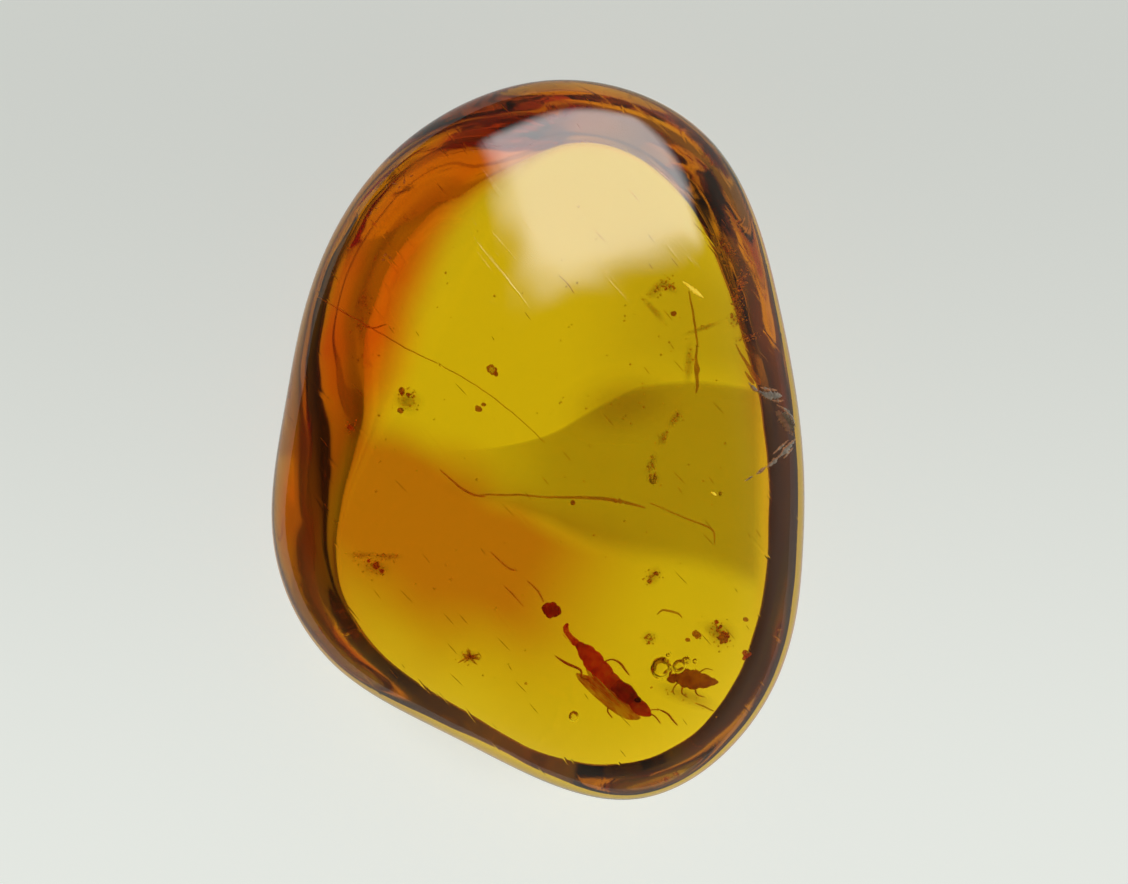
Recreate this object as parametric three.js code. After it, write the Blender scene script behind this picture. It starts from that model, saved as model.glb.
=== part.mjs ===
// Insect in amber: one polished pebble of fossil resin, lying on its flat back.
// Units are millimetres and +Z is up. The origin is under the middle of the pebble, on the
// surface that it rests on, and its narrow shoulder points to +Y.
//
// The pebble is one closed skin of rings. Its widest outline, the girth, is a closed cubic
// spline. A superellipse dome rises from the girth to the crown, and a rounded bevel runs down
// and inward from the girth to a smaller outline, where the flat back begins.

import * as THREE from "three";
import { NURBSCurve } from "three/addons/curves/NURBSCurve.js";
import { ParametricGeometry } from "three/addons/geometries/ParametricGeometry.js";

// Overall size.
const LENGTH = 20.0; // along Y
const WIDTH = 14.8; // along X
const THICKNESS = 5.8; // from the flat back to the crown
const GIRTH_HEIGHT = 3.4; // of the widest outline above the flat back

// Control points of the girth, counter-clockwise from the middle of the right side. bevel is
// how far inward of that point the flat back begins.
const GIRTH_POINTS = [
  { x: 7.5, y: 0.1, bevel: 1.8 },
  { x: 6.8, y: 3.9, bevel: 2.0 },
  { x: 5.5, y: 8.8, bevel: 2.5 },
  { x: 0.4, y: 10.7, bevel: 2.4 },
  { x: -4.4, y: 8.3, bevel: 4.3 },
  { x: -6.5, y: 4.4, bevel: 4.6 },
  { x: -7.0, y: 1.0, bevel: 3.2 },
  { x: -7.8, y: -2.9, bevel: 2.5 },
  { x: -6.0, y: -6.6, bevel: 1.9 },
  { x: -2.2, y: -8.2, bevel: 1.5 },
  { x: 2.9, y: -11.1, bevel: 1.8 },
  { x: 7.1, y: -7.2, bevel: 1.9 },
  { x: 7.5, y: -2.9, bevel: 1.8 },
];

// How full the curved stretches are: 2 is an ellipse, more is squarer and 1 is a straight slope.
const DOME_PLAN_FULLNESS = 2.4;
const DOME_RISE_FULLNESS = 2.1;
const BEVEL_FULLNESS = 1.25;

// The crown stands a little towards +Y of the middle.
const CROWN = new THREE.Vector2(0, 0.3);

// How finely the skin is divided.
const AROUND = 72;
const FLAT_ROWS = 1;
const BEVEL_ROWS = 9;
const DOME_ROWS = 16;
const ROWS = FLAT_ROWS + BEVEL_ROWS + DOME_ROWS;

// A closed uniform cubic spline that the given control points pull into shape.
function closedSpline(points) {
  const degree = 3;
  const wrapped = [...points, ...points.slice(0, degree)];
  const controls = wrapped.map((point) => new THREE.Vector4(point.x, point.y, 0, 1));
  const knots = Array.from({ length: controls.length + degree + 1 }, (_, k) => k);
  return new NURBSCurve(degree, knots, controls, degree, controls.length);
}

// The control points moved inward, square to the line between their neighbours, by their bevel.
function bevelledPoints(points) {
  return points.map((point, k) => {
    const before = points.at(k - 1);
    const after = points[(k + 1) % points.length];
    const inward = new THREE.Vector2(before.y - after.y, after.x - before.x).normalize();
    return inward.multiplyScalar(point.bevel).add(point);
  });
}

const girthCurve = closedSpline(GIRTH_POINTS);
const flatCurve = closedSpline(bevelledPoints(GIRTH_POINTS));

// The stretch and shift that give the girth its exact width and length, centred on the origin.
const girthBox = new THREE.Box3().setFromPoints(girthCurve.getPoints(AROUND));
const girthCentre = girthBox.getCenter(new THREE.Vector3());
const girthSize = girthBox.getSize(new THREE.Vector3());

// A curve's point in plan, once round the pebble for around from 0 to 1.
function planPoint(curve, around) {
  const point = curve.getPoint(around % 1);
  const x = ((point.x - girthCentre.x) * WIDTH) / girthSize.x;
  const y = ((point.y - girthCentre.y) * LENGTH) / girthSize.y;
  return new THREE.Vector2(x, y);
}

const flatCentre = Array.from({ length: AROUND }, (_, k) => planPoint(flatCurve, k / AROUND))
  .reduce((sum, point) => sum.add(point), new THREE.Vector2())
  .divideScalar(AROUND);

// The flat back, from its middle at share 0 out to its edge at share 1.
function flatPoint(around, share, target) {
  const plan = flatCentre.clone().lerp(planPoint(flatCurve, around), share);
  target.set(plan.x, plan.y, 0);
}

// The bevel, from the edge of the flat back at share 0 up to the girth at share 1.
function bevelPoint(around, share, target) {
  const angle = ((1 - share) * Math.PI) / 2;
  const inward = 1 - Math.cos(angle) ** (2 / BEVEL_FULLNESS);
  const drop = Math.sin(angle) ** (2 / BEVEL_FULLNESS);
  const plan = planPoint(girthCurve, around).lerp(planPoint(flatCurve, around), inward);
  target.set(plan.x, plan.y, GIRTH_HEIGHT * (1 - drop));
}

// The dome, from the girth at share 0 up to the crown at share 1.
function domePoint(around, share, target) {
  const angle = (share * Math.PI) / 2;
  const spread = Math.cos(angle) ** (2 / DOME_PLAN_FULLNESS);
  const rise = Math.sin(angle) ** (2 / DOME_RISE_FULLNESS);
  const plan = CROWN.clone().lerp(planPoint(girthCurve, around), spread);
  target.set(plan.x, plan.y, GIRTH_HEIGHT + (THICKNESS - GIRTH_HEIGHT) * rise);
}

// The whole skin, from the middle of the flat back at up 0 to the crown at up 1.
function skinPoint(around, up, target) {
  const row = Math.round(up * ROWS);
  if (row <= FLAT_ROWS) {
    flatPoint(around, row / FLAT_ROWS, target);
  } else if (row <= FLAT_ROWS + BEVEL_ROWS) {
    bevelPoint(around, (row - FLAT_ROWS) / BEVEL_ROWS, target);
  } else {
    domePoint(around, (row - FLAT_ROWS - BEVEL_ROWS) / DOME_ROWS, target);
  }
}

const amberMaterial = new THREE.MeshStandardMaterial({
  color: 0xc99708,
  roughness: 0.08,
  metalness: 0,
  transparent: true,
  opacity: 0.6,
});

const amber = new THREE.Mesh(new ParametricGeometry(skinPoint, AROUND, ROWS), amberMaterial);
amber.name = "amber";

const group = new THREE.Group();
group.add(amber);

export default group;
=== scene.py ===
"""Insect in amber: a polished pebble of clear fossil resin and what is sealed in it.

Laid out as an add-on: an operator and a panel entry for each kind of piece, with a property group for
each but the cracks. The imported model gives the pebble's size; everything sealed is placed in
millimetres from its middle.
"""

import bisect
import math
import random

import bmesh
import bpy
from bpy.props import FloatProperty, FloatVectorProperty, IntProperty, PointerProperty
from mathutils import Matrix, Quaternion, Vector
from mathutils.bvhtree import BVHTree


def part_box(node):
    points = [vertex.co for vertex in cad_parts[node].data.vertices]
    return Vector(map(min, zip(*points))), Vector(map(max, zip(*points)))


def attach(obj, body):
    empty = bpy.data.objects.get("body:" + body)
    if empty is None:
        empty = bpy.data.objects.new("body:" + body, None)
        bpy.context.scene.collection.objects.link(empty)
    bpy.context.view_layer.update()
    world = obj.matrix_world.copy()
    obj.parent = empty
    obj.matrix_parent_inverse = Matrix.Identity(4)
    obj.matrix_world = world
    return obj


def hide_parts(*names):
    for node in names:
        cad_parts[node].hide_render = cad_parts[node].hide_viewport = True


bl_info = {
    "name": "Insect in amber",
    "version": (1, 0, 0),
    "blender": (4, 5, 0),
    "location": "3D View > Sidebar > Amber",
    "description": "Builds an amber pebble with its sealed insects, bubbles, hairs and specks",
    "category": "Object",
}

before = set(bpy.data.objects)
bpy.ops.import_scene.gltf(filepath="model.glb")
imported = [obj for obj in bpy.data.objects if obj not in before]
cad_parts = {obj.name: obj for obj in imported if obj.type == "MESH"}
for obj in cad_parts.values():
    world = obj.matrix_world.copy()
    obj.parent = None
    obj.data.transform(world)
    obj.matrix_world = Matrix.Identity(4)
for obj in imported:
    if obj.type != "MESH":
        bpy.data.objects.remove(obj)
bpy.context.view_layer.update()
LOWEST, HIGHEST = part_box("amber")

MM = 0.001
BODY = "root"
PEBBLE = "amber_pebble"

# Pebble shape, in millimetres: control points of the girth, counter-clockwise from the middle
# of the right side, each with how far inward of it the flat back begins.
GIRTH_POINTS = (
    (7.5, 0.1, 1.8),
    (6.8, 3.9, 2.0),
    (5.5, 8.8, 2.5),
    (0.4, 10.7, 2.4),
    (-4.4, 8.3, 4.3),
    (-6.5, 4.4, 4.6),
    (-7.0, 1.0, 3.2),
    (-7.8, -2.9, 2.5),
    (-6.0, -6.6, 1.9),
    (-2.2, -8.2, 1.5),
    (2.9, -11.1, 1.8),
    (7.1, -7.2, 1.9),
    (7.5, -2.9, 1.8),
)
GIRTH_SHARE = 3.4 / 5.8  # height of the girth, as a share of the pebble's thickness
DOME_PLAN_FULLNESS = 2.4
DOME_RISE_FULLNESS = 2.1
BEVEL_FULLNESS = 1.25
CROWN = Vector((0.0, 0.3)) * MM
SKIN_GAP = 0.04 * MM  # least resin left between a sealed thing and the skin
RIND_AND_SHADE_WIDTH = 0.42  # share of the way from the flat back to the girth in which the redder rind, partly painted shade, thickens
EDGE_FROM = 0.74  # where the greyer, darker tint at the girth begins, as a share of the same way
EDGE_WIDTH = 0.2
# The painted orange shade along the flat back: its frame, and in that frame where it is clear and
# full
ORANGE_SHADE_PLACE = (-2.5 * MM, -3.0 * MM, 0.0)
ORANGE_SHADE_TURN = math.radians(-24)
ORANGE_SHADE_UPPER = (3.3 * MM, 1.5 * MM)
ORANGE_SHADE_LOWER = (-3.8 * MM, -0.6 * MM)
ORANGE_SHADE_RIGHT = (6.2 * MM, 2.0 * MM)
ORANGE_SHADE_TOP = 1.6 * MM  # how high up the bevel it reaches

# How finely the pebble's skin is divided.
AROUND = 300
FLAT_ROWS = 3
BEVEL_ROWS = 40
DOME_ROWS = 80

# The camera looks straight down, a little to the right of the pebble's middle.
VIEW_WIDTH = 31.33 * MM
VIEW_ASIDE = 0.72 * MM
VIEW_DOWN = -0.06 * MM
LENS = 100.0
SENSOR = 36.0
GIRTH_HEIGHT = LOWEST.z + GIRTH_SHARE * (HIGHEST.z - LOWEST.z)
EYE = Vector((VIEW_ASIDE, VIEW_DOWN, GIRTH_HEIGHT + VIEW_WIDTH * LENS / SENSOR))

# The floor and the light
FLOOR_REACH = 0.6
FLOOR_GAP = 0.03 * MM  # how far the floor lies under the flat back
POOL_NEAR = (12.0 * MM, -14.0 * MM)  # how far up and down the floor the bright pool fades in
POOL_RING = (0.75, 1.05)  # and how far out, as a share of the pebble's reach
SKY_BANDS = ((0.5, 0.42), (0.66, 0.42), (0.8, 0.14), (0.92, 0.04))  # height, strength
SKY_SIDES = (0.2, 1.4)  # strength of the sky away from and towards its lean
BACKDROP = 0.62  # strength of the plain backdrop
SKY_COLOUR = (1.0, 0.93, 0.78)
BACKDROP_COLOUR = (0.97, 1.0, 0.96)
WINDOW_AIM = Vector((0.0, 4.0, 4.0)) * MM
WINDOW_SOFTNESS = 0.16
GLOSSY_BOUNCES = 8
MOST_BOUNCES = 16

# How much of the light from behind each kind of thin matter lets through
SHELL_GLOW = 0.75
WING_GLOW = 0.85
CRUMB_GLOW = 0.9
FROST_GLOW = 0.4
# How clear each kind of debris is, wetted by the resin
BROWN_CLEAR = 0.3
RED_CLEAR = 0.25
HAZE_CLEAR = 0.45
THREAD_CLEAR = 0.4
MURK_STRENGTH = 0.46


# ---------------------------------------------------------------------------------------------
# Shapes
# ---------------------------------------------------------------------------------------------


def spline_point(points, share):
    """A point on the closed cubic spline of the points, once round for share from 0 to 1."""
    count = len(points)
    place = share * count
    start = math.floor(place)
    f = place - start
    weights = (
        (1 - f) ** 3 / 6,
        (3 * f**3 - 6 * f**2 + 4) / 6,
        (-3 * f**3 + 3 * f**2 + 3 * f + 1) / 6,
        f**3 / 6,
    )
    total = Vector((0.0, 0.0))
    for k, weight in enumerate(weights):
        total += weight * points[(start + k) % count]
    return total


def bevelled_points():
    """The girth's control points moved inward, square to the line between their neighbours."""
    moved = []
    count = len(GIRTH_POINTS)
    for k, (x, y, bevel) in enumerate(GIRTH_POINTS):
        before = GIRTH_POINTS[k - 1]
        after = GIRTH_POINTS[(k + 1) % count]
        inward = Vector((before[1] - after[1], after[0] - before[0])).normalized()
        moved.append(Vector((x, y)) + bevel * inward)
    return moved


def pebble_outlines():
    """The girth and the edge of the flat back in plan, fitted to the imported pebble's box."""
    shares = [k / AROUND for k in range(AROUND)]
    girth = [spline_point([Vector(p[:2]) for p in GIRTH_POINTS], s) for s in shares]
    flat = [spline_point(bevelled_points(), s) for s in shares]
    low = Vector((min(p.x for p in girth), min(p.y for p in girth)))
    high = Vector((max(p.x for p in girth), max(p.y for p in girth)))
    stretch = [(HIGHEST[k] - LOWEST[k]) / (high[k] - low[k]) for k in range(2)]

    def fitted(p):
        return Vector([LOWEST[k] + (p[k] - low[k]) * stretch[k] for k in range(2)])

    return [fitted(p) for p in girth], [fitted(p) for p in flat]


def at_height(plan_points, height):
    """Plan points lifted to one height."""
    return [Vector((p.x, p.y, height)) for p in plan_points]


def smooth_step(share):
    """0 below 0, 1 above 1 and an even S between."""
    held = min(max(share, 0.0), 1.0)
    return held * held * (3 - 2 * held)


def paint_rind_and_shade(mesh):
    """Writes how much of the redder rind, partly weathered and partly painted shade, lies on each
    point of the pebble's skin: all of it round the girth, none inside the line where the flat back
    ends. The greyer, darker tint at the girth is narrower."""
    girth, flat = pebble_outlines()
    middle = sum(flat, Vector((0.0, 0.0))) / AROUND
    spans = sorted(
        (math.atan2(g.y - middle.y, g.x - middle.x), (g - middle).length, (f - middle).length)
        for g, f in zip(girth, flat)
    )
    angles = [span[0] for span in spans]
    rind_and_shade = []
    edge = []
    for corner in mesh.vertices:
        p = Vector(corner.co[:2]) - middle
        _, outer, inner = spans[bisect.bisect(angles, math.atan2(p.y, p.x)) % AROUND]
        outward = (p.length - inner) / (outer - inner)
        rind_and_shade.append(smooth_step(outward / RIND_AND_SHADE_WIDTH))
        edge.append(smooth_step((outward - EDGE_FROM) / EDGE_WIDTH))
    mesh.attributes.new("rind_and_shade", "FLOAT", "POINT").data.foreach_set("value", rind_and_shade)
    mesh.attributes.new("edge", "FLOAT", "POINT").data.foreach_set("value", edge)


def pebble_rings():
    """Rings of the pebble's skin, from the middle of the flat back up to the crown."""
    girth, flat = pebble_outlines()
    middle = sum(flat, Vector((0.0, 0.0))) / AROUND
    bottom = LOWEST.z
    rings = [[Vector((middle.x, middle.y, bottom))]]
    for row in range(1, FLAT_ROWS):
        rings.append(at_height([middle.lerp(p, row / FLAT_ROWS) for p in flat], bottom))
    for row in range(BEVEL_ROWS + 1):
        angle = (1 - row / BEVEL_ROWS) * math.pi / 2
        inward = 1 - abs(math.cos(angle)) ** (2 / BEVEL_FULLNESS)
        drop = math.sin(angle) ** (2 / BEVEL_FULLNESS)
        height = GIRTH_HEIGHT - drop * (GIRTH_HEIGHT - bottom)
        rings.append(at_height([g.lerp(p, inward) for g, p in zip(girth, flat)], height))
    for row in range(1, DOME_ROWS):
        angle = row / DOME_ROWS * math.pi / 2
        spread = math.cos(angle) ** (2 / DOME_PLAN_FULLNESS)
        rise = math.sin(angle) ** (2 / DOME_RISE_FULLNESS)
        height = GIRTH_HEIGHT + rise * (HIGHEST.z - GIRTH_HEIGHT)
        rings.append(at_height([CROWN.lerp(g, spread) for g in girth], height))
    rings.append([Vector((CROWN.x, CROWN.y, HIGHEST.z))])
    return rings


def add_skin(bm, rings):
    """Adds a closed skin over rings of equal length to bm. A ring of one point is a pole."""
    rows = [[bm.verts.new(p) for p in ring] for ring in rings]
    for lower, upper in zip(rows, rows[1:]):
        count = max(len(lower), len(upper))
        for k in range(count):
            corners = [lower[k % len(lower)], lower[(k + 1) % len(lower)]]
            corners += [upper[(k + 1) % len(upper)], upper[k % len(upper)]]
            bm.faces.new(list(dict.fromkeys(corners)))


def add_limb(bm, path, widths, depths=None, sides=12):
    """Adds a round or flattened limb along a path, closed at both ends, to bm."""
    depths = depths or widths
    turns = [2 * math.pi * j / sides for j in range(sides)]
    rings = []
    for k, (point, width, depth) in enumerate(zip(path, widths, depths)):
        along = (path[min(k + 1, len(path) - 1)] - path[max(k - 1, 0)]).normalized()
        side = Vector((0.0, 0.0, 1.0)).cross(along).normalized() * width / 2
        up = along.cross(side).normalized() * depth / 2
        rings.append([point + side * math.cos(t) + up * math.sin(t) for t in turns])
    add_skin(bm, [[path[0]], *rings[1:-1], [path[-1]]])


def smooth_path(points, steps):
    """Points along an open smooth curve through the given points, steps for each stretch."""
    last = len(points) - 1
    path = []
    for k in range(last):
        p0, p1, p2, p3 = (points[min(max(k + j, 0), last)] for j in (-1, 0, 1, 2))
        for step in range(steps):
            t = step / steps
            near = 2 * p1 + (p2 - p0) * t
            far = (2 * p0 - 5 * p1 + 4 * p2 - p3) * t**2 + (3 * p1 - p0 - 3 * p2 + p3) * t**3
            path.append((near + far) / 2)
    path.append(points[-1].copy())
    return path


def smooth_numbers(numbers, steps):
    """Numbers along the same stretches as smooth_path gives points."""
    path = smooth_path([Vector((n, 0.0)) for n in numbers], steps)
    return [max(p.x, 0.0) for p in path]


def finish_mesh(name, bm):
    """A smooth-shaded object of bm, its faces out and its place in its mesh."""
    bmesh.ops.recalc_face_normals(bm, faces=bm.faces)
    mesh = bpy.data.meshes.new(name)
    bm.to_mesh(mesh)
    bm.free()
    mesh.polygons.foreach_set("use_smooth", [True] * len(mesh.polygons))
    piece = bpy.data.objects.new(name, mesh)
    bpy.context.scene.collection.objects.link(piece)
    return piece


def settle(piece, slot, *materials):
    """Gives a finished piece its materials and body; its slot is not used."""
    if materials:
        piece.data.materials.clear()
        for material in materials:
            piece.data.materials.append(material)
    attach(piece, BODY)
    return piece


# ---------------------------------------------------------------------------------------------
# Places inside and on the pebble
# ---------------------------------------------------------------------------------------------


def pebble_tree():
    """A search tree of the finished pebble's skin."""
    pebble = bpy.data.objects.get(PEBBLE)
    if pebble is None:
        raise RuntimeError("build the pebble first")
    mesh = pebble.data
    corners = [v.co.copy() for v in mesh.vertices]
    return BVHTree.FromPolygons(corners, [tuple(p.vertices) for p in mesh.polygons])


def sight_line(tree, x, y):
    """Where the line of sight that crosses the girth's height at x, y meets the dome, the dome's
    normal there and the way the line goes on inside the resin."""
    ahead = (Vector((x * MM, y * MM, GIRTH_HEIGHT)) - EYE).normalized()
    place, normal, _, _ = tree.ray_cast(EYE, ahead)
    if place is None:
        raise RuntimeError(f"nothing of the pebble lies under {x}, {y}")
    ratio = 1 / bpy.context.scene.amber_pebble.ior
    cosine = -normal.dot(ahead)
    bent = ratio * ahead
    bent += (ratio * cosine - math.sqrt(1 - ratio**2 * (1 - cosine**2))) * normal
    return place, normal, bent


def sealed(tree, x, y, height):
    """The place at that height inside the resin that shows at x, y from straight above, or just
    inside the skin where the line of sight leaves the resin higher up."""
    place, _, inside = sight_line(tree, x, y)
    reach = (height - place.z) / inside.z
    _, _, _, way_out = tree.ray_cast(place + inside * SKIN_GAP, inside)
    return place + inside * min(reach, max(way_out, SKIN_GAP))


def on_dome(tree, x, y, depth):
    """The place a depth under the dome's surface that shows at x, y from straight above."""
    place, normal, _ = sight_line(tree, x, y)
    return place - normal * depth * MM


# ---------------------------------------------------------------------------------------------
# Materials
# ---------------------------------------------------------------------------------------------


def new_material(name):
    """A material with its node tree and its main shader."""
    material = bpy.data.materials.new(name)
    material.use_nodes = True
    tree = material.node_tree
    return material, tree, tree.nodes["Principled BSDF"]


def noise(tree, scale, detail=3.0, stretch=(1.0, 1.0, 1.0), turn=0.0):
    """Noise on the object's own coordinates, scale features to the metre, stretched and turned."""
    coordinates = tree.nodes.new("ShaderNodeTexCoord")
    turned = tree.nodes.new("ShaderNodeMapping")
    turned.inputs["Rotation"].default_value = (0.0, 0.0, turn)
    stretched = tree.nodes.new("ShaderNodeMapping")
    stretched.inputs["Scale"].default_value = stretch
    texture = tree.nodes.new("ShaderNodeTexNoise")
    texture.inputs["Scale"].default_value = scale
    texture.inputs["Detail"].default_value = detail
    tree.links.new(coordinates.outputs["Object"], turned.inputs["Vector"])
    tree.links.new(turned.outputs["Vector"], stretched.inputs["Vector"])
    tree.links.new(stretched.outputs["Vector"], texture.inputs["Vector"])
    return texture.outputs["Fac"]


def mapped(tree, value, low, high, to_low, to_high):
    """A value remapped from one range to another."""
    node = tree.nodes.new("ShaderNodeMapRange")
    node.inputs["From Min"].default_value = low
    node.inputs["From Max"].default_value = high
    node.inputs["To Min"].default_value = to_low
    node.inputs["To Max"].default_value = to_high
    tree.links.new(value, node.inputs["Value"])
    return node.outputs["Result"]


def eased(tree, value, low, high):
    """A value remapped to an eased rise from 0 at low to 1 at high, or a fall if low is larger."""
    node = tree.nodes.new("ShaderNodeMapRange")
    node.interpolation_type = "SMOOTHSTEP"
    node.inputs["From Min"].default_value = low
    node.inputs["From Max"].default_value = high
    tree.links.new(value, node.inputs["Value"])
    return node.outputs["Result"]


def multiplied(tree, first, second):
    """The product of two values."""
    node = tree.nodes.new("ShaderNodeMath")
    node.operation = "MULTIPLY"
    tree.links.new(first, node.inputs[0])
    tree.links.new(second, node.inputs[1])
    return node.outputs["Value"]


def ramp(tree, value, stops):
    """A colour ramp of (position, colour) stops driven by a value."""
    node = tree.nodes.new("ShaderNodeValToRGB")
    elements = node.color_ramp.elements
    while len(elements) < len(stops):
        elements.new(0.5)
    for element, (position, colour) in zip(elements, stops):
        element.position = position
        element.color = (*colour, 1.0)
    tree.links.new(value, node.inputs["Fac"])
    return node.outputs["Color"]


def bumps(tree, shader, layers):
    """Bump layers of (height value, height in metres), one on the other, on a shader's normal."""
    below = None
    for value, height in layers:
        node = tree.nodes.new("ShaderNodeBump")
        node.inputs["Distance"].default_value = height
        tree.links.new(value, node.inputs["Height"])
        if below is not None:
            tree.links.new(below, node.inputs["Normal"])
        below = node.outputs["Normal"]
    tree.links.new(below, shader.inputs["Normal"])


def blended(tree, share, first, second):
    """One colour laid over another, as much as a share says."""
    node = tree.nodes.new("ShaderNodeMix")
    node.data_type = "RGBA"
    colour_sockets = [socket for socket in node.inputs if socket.type == "RGBA"]
    tree.links.new(share, node.inputs["Factor"])
    tree.links.new(first, colour_sockets[0])
    colour_sockets[1].default_value = (*second, 1.0)
    return next(socket for socket in node.outputs if socket.type == "RGBA")


def orange_painted_shade(tree, position, height):
    """How deep in the soft painted orange shade along the flat back each point lies, from 0 to 1."""
    turned = tree.nodes.new("ShaderNodeMapping")
    turned.vector_type = "TEXTURE"
    turned.inputs["Location"].default_value = ORANGE_SHADE_PLACE
    turned.inputs["Rotation"].default_value = (0.0, 0.0, ORANGE_SHADE_TURN)
    tree.links.new(position, turned.inputs["Vector"])
    parts = tree.nodes.new("ShaderNodeSeparateXYZ")
    tree.links.new(turned.outputs["Vector"], parts.inputs["Vector"])
    wavy = tree.nodes.new("ShaderNodeMath")
    ripple = mapped(tree, noise(tree, 220.0, 2.0), 0.3, 0.7, -0.5 * MM, 0.5 * MM)
    tree.links.new(parts.outputs["Y"], wavy.inputs[0])
    tree.links.new(ripple, wavy.inputs[1])
    depth = eased(tree, height, ORANGE_SHADE_TOP, ORANGE_SHADE_TOP / 4)
    for value, (clear, full) in (
        (wavy.outputs["Value"], ORANGE_SHADE_UPPER),
        (wavy.outputs["Value"], ORANGE_SHADE_LOWER),
        (parts.outputs["X"], ORANGE_SHADE_RIGHT),
    ):
        depth = multiplied(tree, depth, eased(tree, value, clear, full))
    return depth


def amber_material(settings):
    """Clear golden resin: polished, faintly wavy, with fine rubbing lines all one way."""
    material, tree, shader = new_material("amber_resin")
    # Partly a weathered rind, partly painted shade: the band round the girth is tinted redder and
    # darker, fading out towards the bottom and weaker to the right.
    rind_and_shade = tree.nodes.new("ShaderNodeAttribute")
    rind_and_shade.attribute_name = "rind_and_shade"
    patchy = mapped(tree, noise(tree, 300.0), 0.3, 0.7, 0.75, 1.0)
    weathered_and_shaded = multiplied(tree, rind_and_shade.outputs["Fac"], patchy)
    position = tree.nodes.new("ShaderNodeTexCoord")
    parts = tree.nodes.new("ShaderNodeSeparateXYZ")
    tree.links.new(position.outputs["Object"], parts.inputs["Vector"])
    upper = mapped(tree, parts.outputs["Y"], -6.0 * MM, -2.5 * MM, 0.0, 1.0)
    left = mapped(tree, parts.outputs["X"], 0.0, 5.0 * MM, 1.0, 0.55)
    weathered_and_shaded = multiplied(tree, multiplied(tree, weathered_and_shaded, upper), left)
    colour = ramp(tree, weathered_and_shaded, [(0.0, tuple(settings.tint)), (1.0, tuple(settings.rind_and_shade))])
    edge = tree.nodes.new("ShaderNodeAttribute")
    edge.attribute_name = "edge"
    colour = blended(tree, edge.outputs["Fac"], colour, settings.edge)
    # Painted shade: an orange tint on the skin along the flat back darkens what is seen through it
    # there.
    flow = orange_painted_shade(tree, position.outputs["Object"], parts.outputs["Z"])
    strength = mapped(tree, flow, 0.0, 1.0, 0.0, settings.orange_shade_strength)
    colour = blended(tree, strength, colour, settings.flow)
    tree.links.new(colour, shader.inputs["Base Color"])
    shader.inputs["Transmission Weight"].default_value = 1.0
    shader.inputs["IOR"].default_value = settings.ior
    cloudy = noise(tree, 350.0)
    tree.links.new(
        mapped(tree, cloudy, 0.3, 0.7, settings.roughness, 2.5 * settings.roughness),
        shader.inputs["Roughness"],
    )
    rubbing = noise(tree, 450.0, 2.0, (1.0, 13.0, 1.0), math.radians(52))
    lines = mapped(tree, rubbing, 0.62, 0.75, 0.0, 1.0)
    waves = noise(tree, 420.0, 1.0)
    bumps(tree, shader, [(waves, 0.00004), (lines, 0.0000012)])
    absorption = tree.nodes.new("ShaderNodeVolumeAbsorption")
    strongest = max(settings.absorption)
    absorption.inputs["Color"].default_value = (
        *[1 - share / strongest for share in settings.absorption],
        1.0,
    )
    absorption.inputs["Density"].default_value = strongest / MM
    output = tree.nodes["Material Output"]
    tree.links.new(absorption.outputs["Volume"], output.inputs["Volume"])
    return material


def let_through(material, colour, share, clear=0.0):
    """Makes a share of a material pass light from behind, in a colour, as thin matter does. A
    share of it can be clear, as wetted crumbs and threads are in resin."""
    tree = material.node_tree
    glow = tree.nodes.new("ShaderNodeBsdfTranslucent")
    tree.links.new(colour, glow.inputs["Color"])
    mix = tree.nodes.new("ShaderNodeMixShader")
    mix.inputs["Fac"].default_value = share
    tree.links.new(tree.nodes["Principled BSDF"].outputs["BSDF"], mix.inputs[1])
    tree.links.new(glow.outputs["BSDF"], mix.inputs[2])
    wet = tree.nodes.new("ShaderNodeMixShader")
    wet.inputs["Fac"].default_value = clear
    tree.links.new(mix.outputs["Shader"], wet.inputs[1])
    tree.links.new(tree.nodes.new("ShaderNodeBsdfTransparent").outputs["BSDF"], wet.inputs[2])
    tree.links.new(wet.outputs["Shader"], tree.nodes["Material Output"].inputs["Surface"])


def chitin_material(name, dark, mid, bright):
    """Glossy insect shell, mottled from dark to bright, with fine wrinkles."""
    material, tree, shader = new_material(name)
    mottle = noise(tree, 2600.0, 4.0)
    colour = ramp(tree, mottle, [(0.3, dark), (0.5, mid), (0.68, bright)])
    tree.links.new(colour, shader.inputs["Base Color"])
    tree.links.new(mapped(tree, mottle, 0.3, 0.7, 0.25, 0.5), shader.inputs["Roughness"])
    bumps(tree, shader, [(noise(tree, 14000.0, 3.0), 0.00001)])
    let_through(material, colour, SHELL_GLOW)
    return material


def wing_material(name, membrane, vein):
    """Thin folded wing, smoky between lengthwise streaks."""
    material, tree, shader = new_material(name)
    streaks = noise(tree, 2500.0, 3.0, (1.0, 6.0, 1.0), math.radians(43))
    colour = ramp(tree, streaks, [(0.35, membrane), (0.6, vein)])
    tree.links.new(colour, shader.inputs["Base Color"])
    tree.links.new(mapped(tree, streaks, 0.3, 0.7, 0.2, 0.45), shader.inputs["Roughness"])
    bumps(tree, shader, [(streaks, 0.00001)])
    let_through(material, colour, WING_GLOW)
    return material


def debris_material(name, dark, light, clear):
    """Dull plant and bark crumbs, grained from dark to light."""
    material, tree, shader = new_material(name)
    grain = noise(tree, 5000.0, 5.0)
    colour = ramp(tree, grain, [(0.35, dark), (0.65, light)])
    tree.links.new(colour, shader.inputs["Base Color"])
    tree.links.new(mapped(tree, grain, 0.3, 0.7, 0.55, 0.85), shader.inputs["Roughness"])
    bumps(tree, shader, [(noise(tree, 20000.0, 2.0), 0.00001)])
    let_through(material, colour, CRUMB_GLOW, clear)
    return material


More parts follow.
